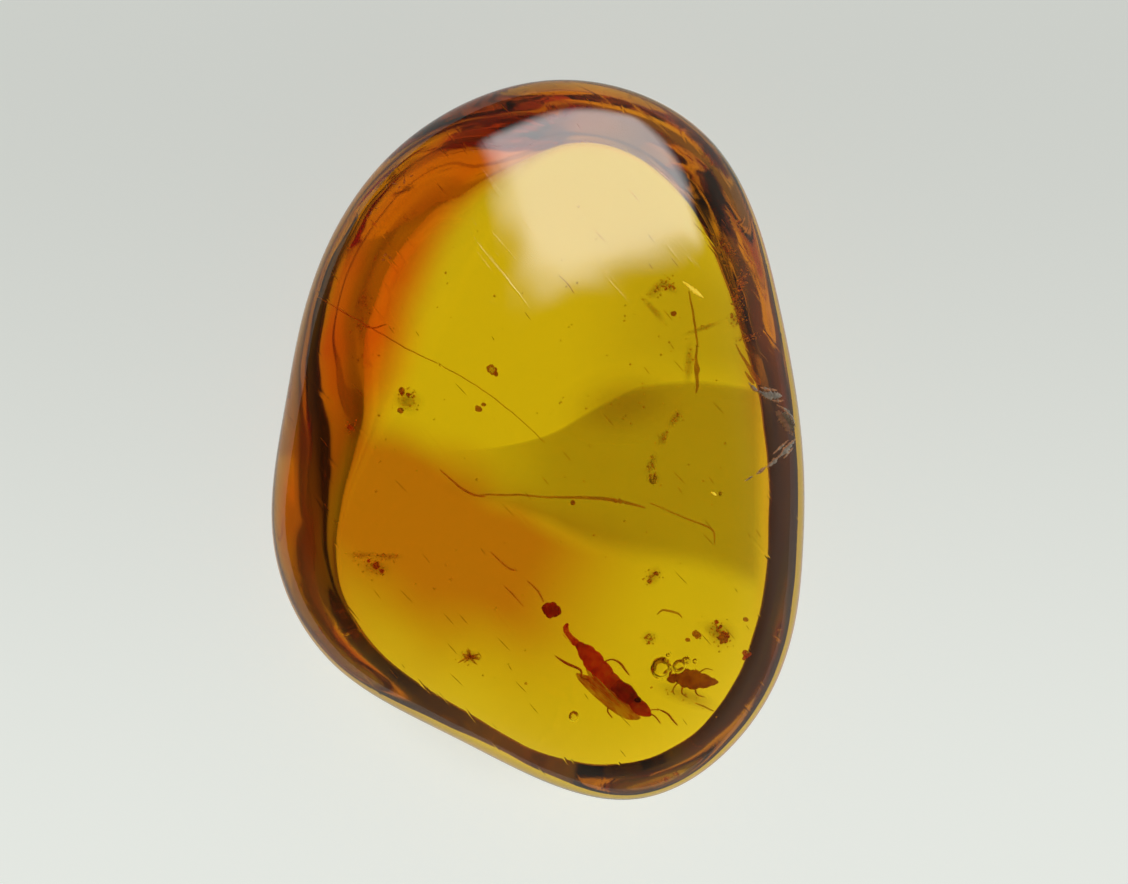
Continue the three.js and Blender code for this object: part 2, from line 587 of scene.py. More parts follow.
def frost_material(name, colour):
    """Crushed white resin in a chip or a scratch, dull and grainy."""
    material, tree, shader = new_material(name)
    grain = noise(tree, 9000.0, 4.0)
    dull = [0.55 * c for c in colour]
    white = ramp(tree, grain, [(0.3, dull), (0.6, colour)])
    tree.links.new(white, shader.inputs["Base Color"])
    tree.links.new(mapped(tree, grain, 0.3, 0.7, 0.35, 0.7), shader.inputs["Roughness"])
    bumps(tree, shader, [(grain, 0.00002)])
    let_through(material, white, FROST_GLOW)
    return material


def haze_and_painted_shade_material(name, colour, strength):
    """A see-through sheet, as dense as its fade attribute says: cloudy haze round the crumbs, and
    painted shade in the olive and brown sheets.
    """
    material, tree, shader = new_material(name)
    cloud = noise(tree, 500.0, 3.0)
    light = [min(1.0, 1.25 * c) for c in colour]
    tree.links.new(ramp(tree, cloud, [(0.3, colour), (0.7, light)]), shader.inputs["Base Color"])
    shader.inputs["Roughness"].default_value = 0.8
    shader.inputs["Specular IOR Level"].default_value = 0.0
    fade = tree.nodes.new("ShaderNodeAttribute")
    fade.attribute_name = "fade"
    grainy = mapped(tree, cloud, 0.3, 0.7, 0.9 * strength, strength)
    tree.links.new(multiplied(tree, fade.outputs["Fac"], grainy), shader.inputs["Alpha"])
    return material


def gas_material(resin_ior):
    """The wall of a gas bubble in resin, faintly pitted."""
    material = bpy.data.materials.new("gas_bubble")
    material.use_nodes = True
    tree = material.node_tree
    tree.nodes.remove(tree.nodes["Principled BSDF"])
    glass = tree.nodes.new("ShaderNodeBsdfGlass")
    glass.inputs["IOR"].default_value = 1 / resin_ior
    pits = noise(tree, 8000.0, 2.0)
    tree.links.new(mapped(tree, pits, 0.3, 0.7, 0.0, 0.08), glass.inputs["Roughness"])
    bumps(tree, glass, [(pits, 0.000004)])
    output = tree.nodes["Material Output"]
    tree.links.new(glass.outputs["BSDF"], output.inputs["Surface"])
    return material


def painted_glint_material():
    """The golden face of a crack with a painted glint: it glows in its own colour as if it mirrored
    the light.
    """
    material, tree, shader = new_material("crack_painted_glint")
    rings = noise(tree, 6000.0, 3.0, (1.0, 5.0, 1.0), math.radians(35))
    colour = ramp(tree, rings, [(0.3, (0.9, 0.62, 0.03)), (0.65, (1.0, 0.92, 0.25))])
    tree.links.new(colour, shader.inputs["Base Color"])
    # Painted glint: the face glows in its own golden colour.
    tree.links.new(colour, shader.inputs["Emission Color"])
    shader.inputs["Emission Strength"].default_value = 0.6
    tree.links.new(mapped(tree, rings, 0.3, 0.7, 0.1, 0.3), shader.inputs["Roughness"])
    return material


# ---------------------------------------------------------------------------------------------
# Geometry Nodes
# ---------------------------------------------------------------------------------------------


def new_node_group(name, inputs):
    """A geometry node tree with named inputs of (name, socket type, default)."""
    group = bpy.data.node_groups.new(name, "GeometryNodeTree")
    face = group.interface
    face.new_socket("Geometry", in_out="INPUT", socket_type="NodeSocketGeometry")
    for label, kind, default in inputs:
        socket = face.new_socket(label, in_out="INPUT", socket_type=kind)
        if default is not None:
            socket.default_value = default
    face.new_socket("Geometry", in_out="OUTPUT", socket_type="NodeSocketGeometry")
    start = group.nodes.new("NodeGroupInput")
    end = group.nodes.new("NodeGroupOutput")
    return group, start, end


def finish_group(group, start, end, geometry):
    """Ends a tree with realized instances, smooth faces and the material input."""
    realize = group.nodes.new("GeometryNodeRealizeInstances")
    smooth = group.nodes.new("GeometryNodeSetShadeSmooth")
    paint = group.nodes.new("GeometryNodeSetMaterial")
    group.links.new(geometry, realize.inputs["Geometry"])
    group.links.new(realize.outputs["Geometry"], smooth.inputs["Geometry"])
    group.links.new(smooth.outputs["Geometry"], paint.inputs["Geometry"])
    group.links.new(start.outputs["Material"], paint.inputs["Material"])
    group.links.new(paint.outputs["Geometry"], end.inputs["Geometry"])


def hair_group():
    """Turns curves into round hairs as thick as their points' radii, wavering a little."""
    inputs = [
        ("Step", "NodeSocketFloat", 0.05 * MM),
        ("Waver", "NodeSocketFloat", 0.01 * MM),
        ("Sides", "NodeSocketInt", 7),
        ("Material", "NodeSocketMaterial", None),
    ]
    group, start, end = new_node_group("hairs_on_curves", inputs)
    resample = group.nodes.new("GeometryNodeResampleCurve")
    resample.mode = "LENGTH"
    wander = group.nodes.new("ShaderNodeTexNoise")
    wander.inputs["Scale"].default_value = 2500.0
    centred = group.nodes.new("ShaderNodeVectorMath")
    centred.operation = "SUBTRACT"
    centred.inputs[1].default_value = (0.5, 0.5, 0.5)
    scaled = group.nodes.new("ShaderNodeVectorMath")
    scaled.operation = "SCALE"
    shift = group.nodes.new("GeometryNodeSetPosition")
    circle = group.nodes.new("GeometryNodeCurvePrimitiveCircle")
    circle.inputs["Radius"].default_value = 1.0
    tube = group.nodes.new("GeometryNodeCurveToMesh")
    tube.inputs["Fill Caps"].default_value = True
    radius = group.nodes.new("GeometryNodeInputRadius")
    link = group.links.new
    link(start.outputs["Geometry"], resample.inputs["Curve"])
    link(start.outputs["Step"], resample.inputs["Length"])
    link(wander.outputs["Color"], centred.inputs[0])
    link(centred.outputs["Vector"], scaled.inputs[0])
    link(start.outputs["Waver"], scaled.inputs["Scale"])
    link(resample.outputs["Curve"], shift.inputs["Geometry"])
    link(scaled.outputs["Vector"], shift.inputs["Offset"])
    link(start.outputs["Sides"], circle.inputs["Resolution"])
    link(shift.outputs["Geometry"], tube.inputs["Curve"])
    link(circle.outputs["Curve"], tube.inputs["Profile Curve"])
    link(radius.outputs["Radius"], tube.inputs["Scale"])
    finish_group(group, start, end, tube.outputs["Mesh"])
    return group


def grain_group():
    """Puts a lumpy grain on each point, as large as its size attribute, each turned its own way."""
    inputs = [
        ("Lumpiness", "NodeSocketFloat", 0.5),
        ("Lump Scale", "NodeSocketFloat", 9000.0),
        ("Stretch", "NodeSocketVector", (1.0, 0.8, 0.7)),
        ("Seed", "NodeSocketInt", 3),
        ("Material", "NodeSocketMaterial", None),
    ]
    group, start, end = new_node_group("grains_on_points", inputs)
    points = group.nodes.new("GeometryNodeMeshToPoints")
    ball = group.nodes.new("GeometryNodeMeshIcoSphere")
    ball.inputs["Radius"].default_value = 0.5
    ball.inputs["Subdivisions"].default_value = 3
    size = group.nodes.new("GeometryNodeInputNamedAttribute")
    size.data_type = "FLOAT"
    size.inputs["Name"].default_value = "size"
    stretched = group.nodes.new("ShaderNodeVectorMath")
    stretched.operation = "SCALE"
    turn = group.nodes.new("FunctionNodeRandomValue")
    turn.data_type = "FLOAT_VECTOR"
    turn.inputs["Max"].default_value = (6.28, 6.28, 6.28)
    place = group.nodes.new("GeometryNodeInstanceOnPoints")
    realize = group.nodes.new("GeometryNodeRealizeInstances")
    lumps = group.nodes.new("ShaderNodeTexNoise")
    lumps.inputs["Detail"].default_value = 2.0
    centred = group.nodes.new("ShaderNodeMath")
    centred.operation = "SUBTRACT"
    centred.inputs[1].default_value = 0.5
    reach = group.nodes.new("ShaderNodeMath")
    reach.operation = "MULTIPLY"
    grown = group.nodes.new("ShaderNodeMath")
    grown.operation = "MULTIPLY"
    normal = group.nodes.new("GeometryNodeInputNormal")
    outward = group.nodes.new("ShaderNodeVectorMath")
    outward.operation = "SCALE"
    shift = group.nodes.new("GeometryNodeSetPosition")
    link = group.links.new
    link(start.outputs["Geometry"], points.inputs["Mesh"])
    link(start.outputs["Stretch"], stretched.inputs[0])
    link(size.outputs["Attribute"], stretched.inputs["Scale"])
    link(start.outputs["Seed"], turn.inputs["Seed"])
    link(points.outputs["Points"], place.inputs["Points"])
    link(ball.outputs["Mesh"], place.inputs["Instance"])
    link(turn.outputs["Value"], place.inputs["Rotation"])
    link(stretched.outputs["Vector"], place.inputs["Scale"])
    link(place.outputs["Instances"], realize.inputs["Geometry"])
    link(start.outputs["Lump Scale"], lumps.inputs["Scale"])
    link(lumps.outputs["Fac"], centred.inputs[0])
    link(centred.outputs["Value"], reach.inputs[0])
    link(start.outputs["Lumpiness"], reach.inputs[1])
    link(reach.outputs["Value"], grown.inputs[0])
    link(size.outputs["Attribute"], grown.inputs[1])
    link(normal.outputs["Normal"], outward.inputs[0])
    link(grown.outputs["Value"], outward.inputs["Scale"])
    link(realize.outputs["Geometry"], shift.inputs["Geometry"])
    link(outward.outputs["Vector"], shift.inputs["Offset"])
    finish_group(group, start, end, shift.outputs["Geometry"])
    return group


def sliver_group():
    """Scatters fine rubbing marks over a skin's upward faces, all lying nearly one way."""
    inputs = [
        ("Density", "NodeSocketFloat", 1.0),
        ("Length", "NodeSocketFloat", 0.35 * MM),
        ("Thickness", "NodeSocketFloat", 0.02 * MM),
        ("Direction", "NodeSocketFloat", 0.0),
        ("Sink", "NodeSocketFloat", 0.02 * MM),
        ("Seed", "NodeSocketInt", 5),
        ("Material", "NodeSocketMaterial", None),
    ]
    group, start, end = new_node_group("rubbing_marks", inputs)
    normal = group.nodes.new("GeometryNodeInputNormal")
    parts = group.nodes.new("ShaderNodeSeparateXYZ")
    upward = group.nodes.new("FunctionNodeCompare")
    upward.data_type = "FLOAT"
    upward.operation = "GREATER_THAN"
    upward.inputs["B"].default_value = 0.8
    scatter = group.nodes.new("GeometryNodeDistributePointsOnFaces")
    needle = group.nodes.new("GeometryNodeMeshIcoSphere")
    needle.inputs["Radius"].default_value = 0.5
    needle.inputs["Subdivisions"].default_value = 2
    spread = group.nodes.new("FunctionNodeRandomValue")
    spread.data_type = "FLOAT"
    spread.inputs["Min"].default_value = -0.12
    spread.inputs["Max"].default_value = 0.12
    heading = group.nodes.new("ShaderNodeMath")
    heading.operation = "ADD"
    turn = group.nodes.new("ShaderNodeCombineXYZ")
    length = group.nodes.new("FunctionNodeRandomValue")
    length.data_type = "FLOAT"
    length.inputs["Min"].default_value = 0.3
    length.inputs["Max"].default_value = 1.3
    long_way = group.nodes.new("ShaderNodeMath")
    long_way.operation = "MULTIPLY"
    shape = group.nodes.new("ShaderNodeCombineXYZ")
    place = group.nodes.new("GeometryNodeInstanceOnPoints")
    down = group.nodes.new("ShaderNodeMath")
    down.operation = "MULTIPLY"
    down.inputs[1].default_value = -1.0
    below = group.nodes.new("ShaderNodeVectorMath")
    below.operation = "SCALE"
    shift = group.nodes.new("GeometryNodeSetPosition")
    link = group.links.new
    link(normal.outputs["Normal"], parts.inputs["Vector"])
    link(parts.outputs["Z"], upward.inputs["A"])
    link(start.outputs["Geometry"], scatter.inputs["Mesh"])
    link(upward.outputs["Result"], scatter.inputs["Selection"])
    link(start.outputs["Density"], scatter.inputs["Density"])
    link(start.outputs["Seed"], scatter.inputs["Seed"])
    link(start.outputs["Seed"], spread.inputs["Seed"])
    link(start.outputs["Seed"], length.inputs["Seed"])
    link(spread.outputs[1], heading.inputs[0])
    link(start.outputs["Direction"], heading.inputs[1])
    link(heading.outputs["Value"], turn.inputs["Z"])
    link(length.outputs[1], long_way.inputs[0])
    link(start.outputs["Length"], long_way.inputs[1])
    link(long_way.outputs["Value"], shape.inputs["X"])
    link(start.outputs["Thickness"], shape.inputs["Y"])
    link(start.outputs["Thickness"], shape.inputs["Z"])
    link(start.outputs["Sink"], down.inputs[0])
    link(scatter.outputs["Normal"], below.inputs[0])
    link(down.outputs["Value"], below.inputs["Scale"])
    link(scatter.outputs["Points"], shift.inputs["Geometry"])
    link(below.outputs["Vector"], shift.inputs["Offset"])
    link(shift.outputs["Geometry"], place.inputs["Points"])
    link(needle.outputs["Mesh"], place.inputs["Instance"])
    link(turn.outputs["Vector"], place.inputs["Rotation"])
    link(shape.outputs["Vector"], place.inputs["Scale"])
    finish_group(group, start, end, place.outputs["Instances"])
    return group


def grow(name, source, group, values):
    """Runs a node tree on a source object and returns the result as a plain mesh object."""
    modifier = source.modifiers.new(group.name, "NODES")
    modifier.node_group = group
    for item in group.interface.items_tree:
        if item.in_out == "INPUT" and item.name in values:
            modifier[item.identifier] = values[item.name]
    source.update_tag()
    depsgraph = bpy.context.evaluated_depsgraph_get()
    depsgraph.update()
    mesh = bpy.data.meshes.new_from_object(source.evaluated_get(depsgraph))
    if not mesh.polygons:
        raise RuntimeError(f"{name} came out empty")
    mesh.name = name
    source.modifiers.remove(modifier)
    bpy.data.objects.remove(source)
    piece = bpy.data.objects.new(name, mesh)
    bpy.context.scene.collection.objects.link(piece)
    return piece


def curve_source(strands):
    """A curve object of strands, each a list of (place, thickness in metres)."""
    data = bpy.data.curves.new("strands", "CURVE")
    data.dimensions = "3D"
    for strand in strands:
        path = smooth_path([p for p, _ in strand], 8)
        thicknesses = smooth_numbers([t for _, t in strand], 8)
        line = data.splines.new("POLY")
        line.points.add(len(path) - 1)
        for point, place, thickness in zip(line.points, path, thicknesses):
            point.co = (*place, 1.0)
            point.radius = thickness / 2
    source = bpy.data.objects.new("strands", data)
    bpy.context.scene.collection.objects.link(source)
    return source


def point_source(places, sizes):
    """A mesh object of bare points, each with its size in metres."""
    mesh = bpy.data.meshes.new("points")
    mesh.from_pydata([tuple(p) for p in places], [], [])
    sizes_attribute = mesh.attributes.new("size", "FLOAT", "POINT")
    sizes_attribute.data.foreach_set("value", sizes)
    source = bpy.data.objects.new("points", mesh)
    bpy.context.scene.collection.objects.link(source)
    return source


# ---------------------------------------------------------------------------------------------
# What is sealed in the resin. Rows start with x and y, in millimetres to the right of and above
# the pebble's middle, where the thing shows from straight above. A rise is in millimetres over
# the height that the group's settings give, and a width or size is in millimetres too.
# ---------------------------------------------------------------------------------------------

# x, y, rise, width, depth
ABDOMEN = (
    (1.06, -5.60, 0.05, 0.08, 0.08),
    (1.20, -5.76, 0.06, 0.30, 0.26),
    (1.42, -6.00, 0.08, 0.50, 0.42),
    (1.66, -6.29, 0.07, 0.52, 0.42),
    (1.94, -6.60, 0.05, 0.46, 0.38),
    (2.20, -6.86, 0.03, 0.34, 0.28),
    (2.34, -7.00, 0.02, 0.08, 0.08),
)
THORAX = (
    (1.98, -6.62, 0.04, 0.10, 0.10),
    (2.12, -6.76, 0.05, 0.36, 0.30),
    (2.34, -6.97, 0.06, 0.43, 0.36),
    (2.58, -7.18, 0.05, 0.41, 0.34),
    (2.76, -7.34, 0.03, 0.30, 0.26),
    (2.86, -7.44, 0.02, 0.08, 0.08),
)
HEAD = (
    (2.56, -7.20, 0.04, 0.12, 0.12),
    (2.70, -7.33, 0.06, 0.34, 0.30),
    (2.86, -7.47, 0.06, 0.38, 0.33),
    (3.02, -7.58, 0.04, 0.26, 0.24),
    (3.14, -7.66, 0.02, 0.05, 0.05),
)
EYE_SPOTS = (
    (2.76, -7.24, 0.14, 0.22),
    (2.60, -7.10, 0.14, 0.14),
    (2.94, -7.42, 0.12, 0.11),
)
TAIL = (
    (0.84, -5.10, -0.10, 0.06, 0.06),
    (0.78, -5.20, -0.06, 0.14, 0.12),
    (0.80, -5.34, -0.02, 0.15, 0.13),
    (0.92, -5.50, 0.02, 0.16, 0.14),
    (1.04, -5.62, 0.04, 0.20, 0.18),
    (1.22, -5.78, 0.05, 0.10, 0.10),
)
LUMP = (
    (0.10, -4.66, -0.20, 0.06, 0.06),
    (0.22, -4.68, -0.20, 0.34, 0.26),
    (0.38, -4.73, -0.20, 0.46, 0.34),
    (0.55, -4.78, -0.20, 0.32, 0.24),
    (0.66, -4.82, -0.20, 0.05, 0.05),
)
UPPER_WING = (
    (1.06, -6.48, -0.10, 0.04, 0.02),
    (1.24, -6.62, -0.08, 0.22, 0.05),
    (1.62, -6.87, -0.05, 0.42, 0.07),
    (2.12, -7.28, -0.03, 0.46, 0.08),
    (2.52, -7.60, -0.02, 0.34, 0.07),
    (2.78, -7.76, -0.02, 0.04, 0.02),
)
LOWER_WING = (
    (1.34, -6.34, -0.16, 0.04, 0.02),
    (1.58, -6.58, -0.15, 0.26, 0.04),
    (2.00, -6.98, -0.14, 0.40, 0.05),
    (2.44, -7.40, -0.14, 0.32, 0.05),
    (2.84, -7.74, -0.14, 0.04, 0.02),
)
# Legs, feelers and the wing's pale vein: x, y, rise, thickness
LIMBS = (
    ((0.46, -6.00, -0.20, 0.03), (0.78, -6.20, -0.10, 0.07), (1.18, -6.38, 0.00, 0.06),
     (1.22, -6.60, 0.05, 0.04), (1.45, -6.66, 0.05, 0.05)),
    ((1.78, -6.20, 0.00, 0.05), (2.05, -6.10, 0.05, 0.04), (2.29, -6.21, 0.05, 0.06),
     (2.40, -6.36, 0.02, 0.05), (2.52, -6.53, 0.00, 0.03)),
    ((2.30, -6.72, 0.00, 0.05), (2.54, -6.82, 0.05, 0.05), (2.66, -6.98, 0.05, 0.05),
     (2.78, -7.14, 0.02, 0.03)),
    ((2.04, -7.30, -0.05, 0.05), (1.92, -7.52, -0.08, 0.04), (2.06, -7.72, -0.10, 0.03)),
    ((3.00, -7.54, 0.02, 0.03), (3.28, -7.48, 0.06, 0.03), (3.58, -7.59, 0.08, 0.05),
     (3.74, -7.76, 0.06, 0.05), (3.88, -7.93, 0.04, 0.03)),
    ((3.04, -7.60, 0.00, 0.03), (3.22, -7.66, 0.02, 0.04), (3.40, -7.88, 0.00, 0.03)),
)
VEINS = (
    ((1.55, -6.52, 0.16, 0.02), (1.78, -6.76, 0.20, 0.04), (2.05, -7.08, 0.21, 0.04),
     (2.38, -7.45, 0.16, 0.02)),
    ((1.30, -6.66, 0.02, 0.015), (1.72, -6.98, 0.04, 0.025), (2.18, -7.42, 0.04, 0.02)),
)

SMALL_BODY = (
    (3.76, -6.62, 0.00, 0.05, 0.05),
    (3.88, -6.60, 0.02, 0.34, 0.26),
    (4.10, -6.62, 0.04, 0.52, 0.40),
    (4.34, -6.66, 0.04, 0.54, 0.42),
    (4.62, -6.70, 0.02, 0.40, 0.30),
    (4.86, -6.72, 0.00, 0.22, 0.18),
    (5.02, -6.74, 0.00, 0.04, 0.04),
)
SMALL_HEAD = (
    (3.58, -6.66, 0.00, 0.04, 0.04),
    (3.66, -6.64, 0.00, 0.20, 0.18),
    (3.78, -6.62, 0.02, 0.26, 0.22),
    (3.90, -6.62, 0.02, 0.06, 0.06),
)
SMALL_LIMBS = (
    ((4.06, -6.76, 0.00, 0.05), (4.00, -7.02, -0.05, 0.04), (4.16, -7.16, -0.08, 0.02)),
    ((4.36, -6.86, 0.00, 0.05), (4.42, -7.08, -0.05, 0.04), (4.62, -7.14, -0.08, 0.02)),
    ((3.92, -6.70, 0.00, 0.05), (3.76, -6.92, -0.05, 0.03), (3.80, -7.08, -0.08, 0.02)),
    ((4.44, -6.48, 0.02, 0.04), (4.66, -6.36, 0.00, 0.03), (4.86, -6.40, -0.04, 0.02)),
)

# x, y, rise, width across
BUBBLES = (
    (3.43, -6.34, 0.10, 0.66),
    (3.92, -6.29, 0.20, 0.40),
    (4.11, -6.12, 0.25, 0.24),
    (3.61, -5.97, 0.20, 0.13),
    (0.99, -7.68, -0.30, 0.30),
    (4.36, -6.14, 0.10, 0.16),
    (3.07, -5.46, 0.20, 0.12),
    (-1.28, 1.94, 0.30, 0.16),
)

# x, y, rise, size
DARK_GRAINS = (
    (3.07, -5.46, 0.00, 0.20),
    (3.08, -5.62, 0.00, 0.10),
    (4.39, -5.40, 0.10, 0.25),
    (4.16, -5.55, 0.10, 0.14),
    (5.14, -5.51, 0.20, 0.36),
    (5.24, -5.44, 0.20, 0.20),
    (4.98, -5.30, 0.20, 0.12),
    (5.77, -4.99, 0.00, 0.16),
    (3.28, -3.72, -0.20, 0.16),
    (3.11, -3.92, -0.20, 0.18),
    (-1.28, 1.94, 0.00, 0.30),
    (-1.16, 1.84, 0.00, 0.16),
    (-1.64, 0.86, -0.30, 0.24),
    (-1.50, 0.98, -0.30, 0.14),
    (-3.78, 1.33, -0.20, 0.20),
    (-3.61, 1.25, -0.20, 0.16),
    (-3.47, 1.19, -0.20, 0.12),
    (-3.81, 0.81, -0.20, 0.18),
    (-5.22, 0.33, -0.40, 0.16),
    (0.97, -1.75, 0.00, 0.16),
    (3.76, 3.50, 0.00, 0.18),
    (2.14, -1.67, 0.00, 0.14),
)
RED_GRAINS = (
    (5.79, -5.95, 0.00, 0.26),
    (5.72, -6.05, 0.00, 0.16),
    (-4.50, -3.50, -0.30, 0.20),
    (-4.34, -3.64, -0.30, 0.16),
    (-4.70, -3.36, -0.30, 0.12),
    (4.95, -5.06, 0.20, 0.12),
    (5.05, -5.20, 0.20, 0.14),
)
PALE_GRAINS = (
    (5.83, -5.90, 0.15, 0.08),
    (3.16, -1.13, 0.10, 0.20),
    (3.24, -1.02, 0.10, 0.12),
    (5.04, -1.49, 0.10, 0.14),
    (4.11, -6.10, 0.35, 0.06),
)
DUST_REACH = (5.2, 7.0)
PUFF_SPREAD = 1.25  # how far a cloud's haze reaches, as a share of its crumbs' reach
# Loose clouds of crumbs: x, y, rise, reach along, reach across, turn in degrees, count, size
CLOUDS = (
    (3.30, 4.20, 0.10, 0.34, 0.16, 40, 40, 0.05),
    (3.62, 4.26, 0.10, 0.28, 0.14, -30, 36, 0.05),
    (3.20, 3.60, 0.10, 0.50, 0.10, -48, 22, 0.04),
    (5.66, 4.40, -0.20, 0.16, 0.50, -15, 50, 0.06),
    (5.48, 3.86, -0.20, 0.16, 0.34, 20, 44, 0.06),
    (5.50, 3.40, -0.20, 0.20, 0.28, -20, 34, 0.06),
    (5.85, 2.85, -0.30, 0.36, 0.10, 10, 30, 0.05),
    (5.30, 5.30, -0.20, 0.60, 0.16, -50, 30, 0.05),
    (4.60, 3.10, 0.00, 0.50, 0.08, 20, 18, 0.04),
    (3.80, 0.60, 0.00, 0.13, 0.30, -38, 22, 0.05),
    (3.46, 0.05, 0.00, 0.12, 0.26, -30, 22, 0.05),
    (3.14, -0.70, 0.00, 0.13, 0.32, -18, 26, 0.05),
    (3.20, -1.06, 0.00, 0.20, 0.16, 0, 24, 0.06),
    (-4.50, -3.55, -0.30, 0.42, 0.24, -10, 40, 0.06),
    (-4.86, -3.20, -0.30, 0.40, 0.10, 0, 26, 0.05),
    (-4.20, -3.24, -0.30, 0.40, 0.10, 0, 26, 0.05),
    (-3.70, 1.10, -0.20, 0.30, 0.26, -40, 20, 0.05),
    (-5.20, 0.34, -0.40, 0.22, 0.14, 40, 20, 0.05),
    (4.90, -5.30, 0.10, 0.40, 0.22, -30, 26, 0.05),
    (3.20, -3.80, -0.20, 0.30, 0.20, 60, 26, 0.05),
    (3.10, -5.50, 0.00, 0.22, 0.20, 0, 16, 0.05),
    (-3.60, 1.05, -0.20, 0.40, 0.34, 0, 14, 0.05),
    (2.40, 1.00, -0.30, 1.60, 0.90, 10, 22, 0.05),
    (-1.89, -6.03, 0.00, 0.30, 0.18, 0, 12, 0.05),
    (5.10, -5.40, 0.15, 0.40, 0.40, 0, 18, 0.05),
    (4.20, 2.10, 0.00, 0.14, 0.60, -4, 16, 0.05),
    (4.10, -7.10, 0.00, 0.90, 0.26, -20, 20, 0.05),
)

# Threads of plant and fungus: x, y, rise, thickness
BROWN_HAIRS = (
    ((-6.11, 3.97, 0.10, 0.03), (-3.83, 2.64, 0.10, 0.035), (-2.72, 2.08, 0.10, 0.03),
     (-1.33, 1.25, 0.05, 0.03), (0.19, -0.08, 0.00, 0.02)),
    ((-1.61, -1.53, 0.00, 0.04), (-0.70, -1.52, 0.00, 0.06), (0.19, -1.58, 0.00, 0.05),
     (1.20, -1.60, 0.00, 0.08), (2.14, -1.67, 0.00, 0.10), (2.97, -1.89, 0.00, 0.04)),
    ((3.11, -1.75, 0.10, 0.03), (4.22, -2.22, 0.10, 0.04), (4.83, -2.50, 0.10, 0.05),
     (4.89, -2.92, 0.10, 0.02)),
    ((4.20, 4.13, 0.00, 0.03), (4.33, 3.43, 0.00, 0.06), (4.42, 2.70, 0.00, 0.05),
     (4.40, 2.20, 0.00, 0.08), (4.43, 1.95, 0.00, 0.16), (4.41, 1.80, 0.00, 0.10),
     (4.44, 1.50, 0.00, 0.08), (4.40, 1.30, 0.00, 0.03)),
    ((5.48, 2.65, 0.00, 0.03), (5.78, 2.14, 0.00, 0.08), (6.08, 1.68, 0.00, 0.16),
     (6.18, 1.54, 0.00, 0.05)),
    ((5.74, 1.89, 0.00, 0.03), (5.90, 1.68, 0.00, 0.09), (6.00, 1.56, 0.00, 0.03)),
    ((3.31, -4.85, 0.10, 0.03), (3.48, -4.72, 0.10, 0.06), (3.86, -4.81, 0.10, 0.06),
     (3.99, -4.95, 0.10, 0.03)),
    ((4.37, -7.31, -0.10, 0.03), (4.62, -7.40, -0.10, 0.05), (4.88, -7.53, -0.10, 0.03)),
    ((5.14, -5.51, 0.20, 0.08), (5.00, -5.28, 0.20, 0.06), (4.88, -5.02, 0.20, 0.03)),
    ((0.60, 4.56, 0.30, 0.02), (0.86, 4.30, 0.30, 0.03), (1.00, 4.08, 0.30, 0.02)),
    ((-4.90, 3.20, -0.20, 0.03), (-4.60, 3.10, -0.20, 0.05), (-4.20, 3.22, -0.20, 0.03)),
)
RED_HAIRS = (
    ((-2.72, -0.83, 0.00, 0.03), (-2.17, -1.31, 0.00, 0.06), (-1.80, -1.52, 0.00, 0.06),
     (-1.47, -1.58, 0.00, 0.04)),
    ((-1.30, -3.10, 0.00, 0.03), (-0.90, -3.50, 0.00, 0.05), (-0.62, -3.62, 0.00, 0.04)),
    ((-0.30, -3.90, 0.00, 0.03), (0.00, -4.20, 0.00, 0.05), (0.16, -4.50, 0.00, 0.04)),
    ((-0.95, -4.05, -0.10, 0.02), (-0.70, -4.30, -0.10, 0.04), (-0.40, -4.62, -0.10, 0.02)),
)

# The star-shaped plant hair
STAR_MIDDLE = (-1.89, -6.03)
STAR_FLATNESS = 0.55
STAR_TAPER = ((0.0, 0.09), (0.4, 0.07), (0.75, 0.045), (1.0, 0.015))  # share, thickness
STAR_SEED = 4
THREAD_WAVER = 0.06 * MM

# Crack faces with a painted golden glint, and the frosted cracks and chip at the right edge: x, y,
# depth under the dome, width
FLASHES = (
    ((4.12, 4.46, 0.60, 0.02), (4.30, 4.33, 0.60, 0.10), (4.52, 4.16, 0.60, 0.12),
     (4.74, 3.99, 0.60, 0.02)),
    ((4.96, -1.46, 0.80, 0.02), (5.04, -1.50, 0.80, 0.08), (5.12, -1.56, 0.80, 0.02)),
)
EDGE_CRACKS = (
    ((5.85, 1.60, 0.04, 0.02), (6.00, 1.42, 0.01, 0.13), (6.14, 1.34, 0.01, 0.08),
     (6.34, 1.24, 0.00, 0.20), (6.56, 1.23, 0.00, 0.24), (6.78, 1.22, 0.00, 0.04)),
    ((6.18, 1.46, 0.01, 0.02), (6.40, 1.40, 0.01, 0.10), (6.66, 1.38, 0.01, 0.02)),
    ((6.50, 1.10, 0.01, 0.02), (6.66, 1.08, 0.01, 0.09), (6.84, 1.10, 0.01, 0.02)),
    ((6.62, 0.98, 0.01, 0.02), (6.84, 0.86, 0.01, 0.09), (7.02, 0.66, 0.01, 0.12),
     (7.16, 0.34, 0.01, 0.02)),
    ((7.16, 0.04, 0.01, 0.02), (7.00, -0.14, 0.01, 0.16), (6.86, -0.30, 0.00, 0.20),
     (6.70, -0.46, 0.01, 0.06), (6.54, -0.60, 0.01, 0.15), (6.36, -0.76, 0.01, 0.04)),
    ((6.34, -0.74, 0.02, 0.02), (6.20, -0.86, 0.02, 0.10), (6.06, -0.96, 0.02, 0.02)),
    ((5.98, -1.00, 0.03, 0.02), (5.86, -1.08, 0.03, 0.06), (5.74, -1.15, 0.03, 0.02)),
    ((6.96, 0.00, 0.01, 0.02), (6.76, -0.18, 0.01, 0.08), (6.52, -0.40, 0.01, 0.02)),
    ((7.10, -0.20, 0.01, 0.02), (6.96, -0.36, 0.01, 0.06), (6.82, -0.52, 0.01, 0.02)),
)
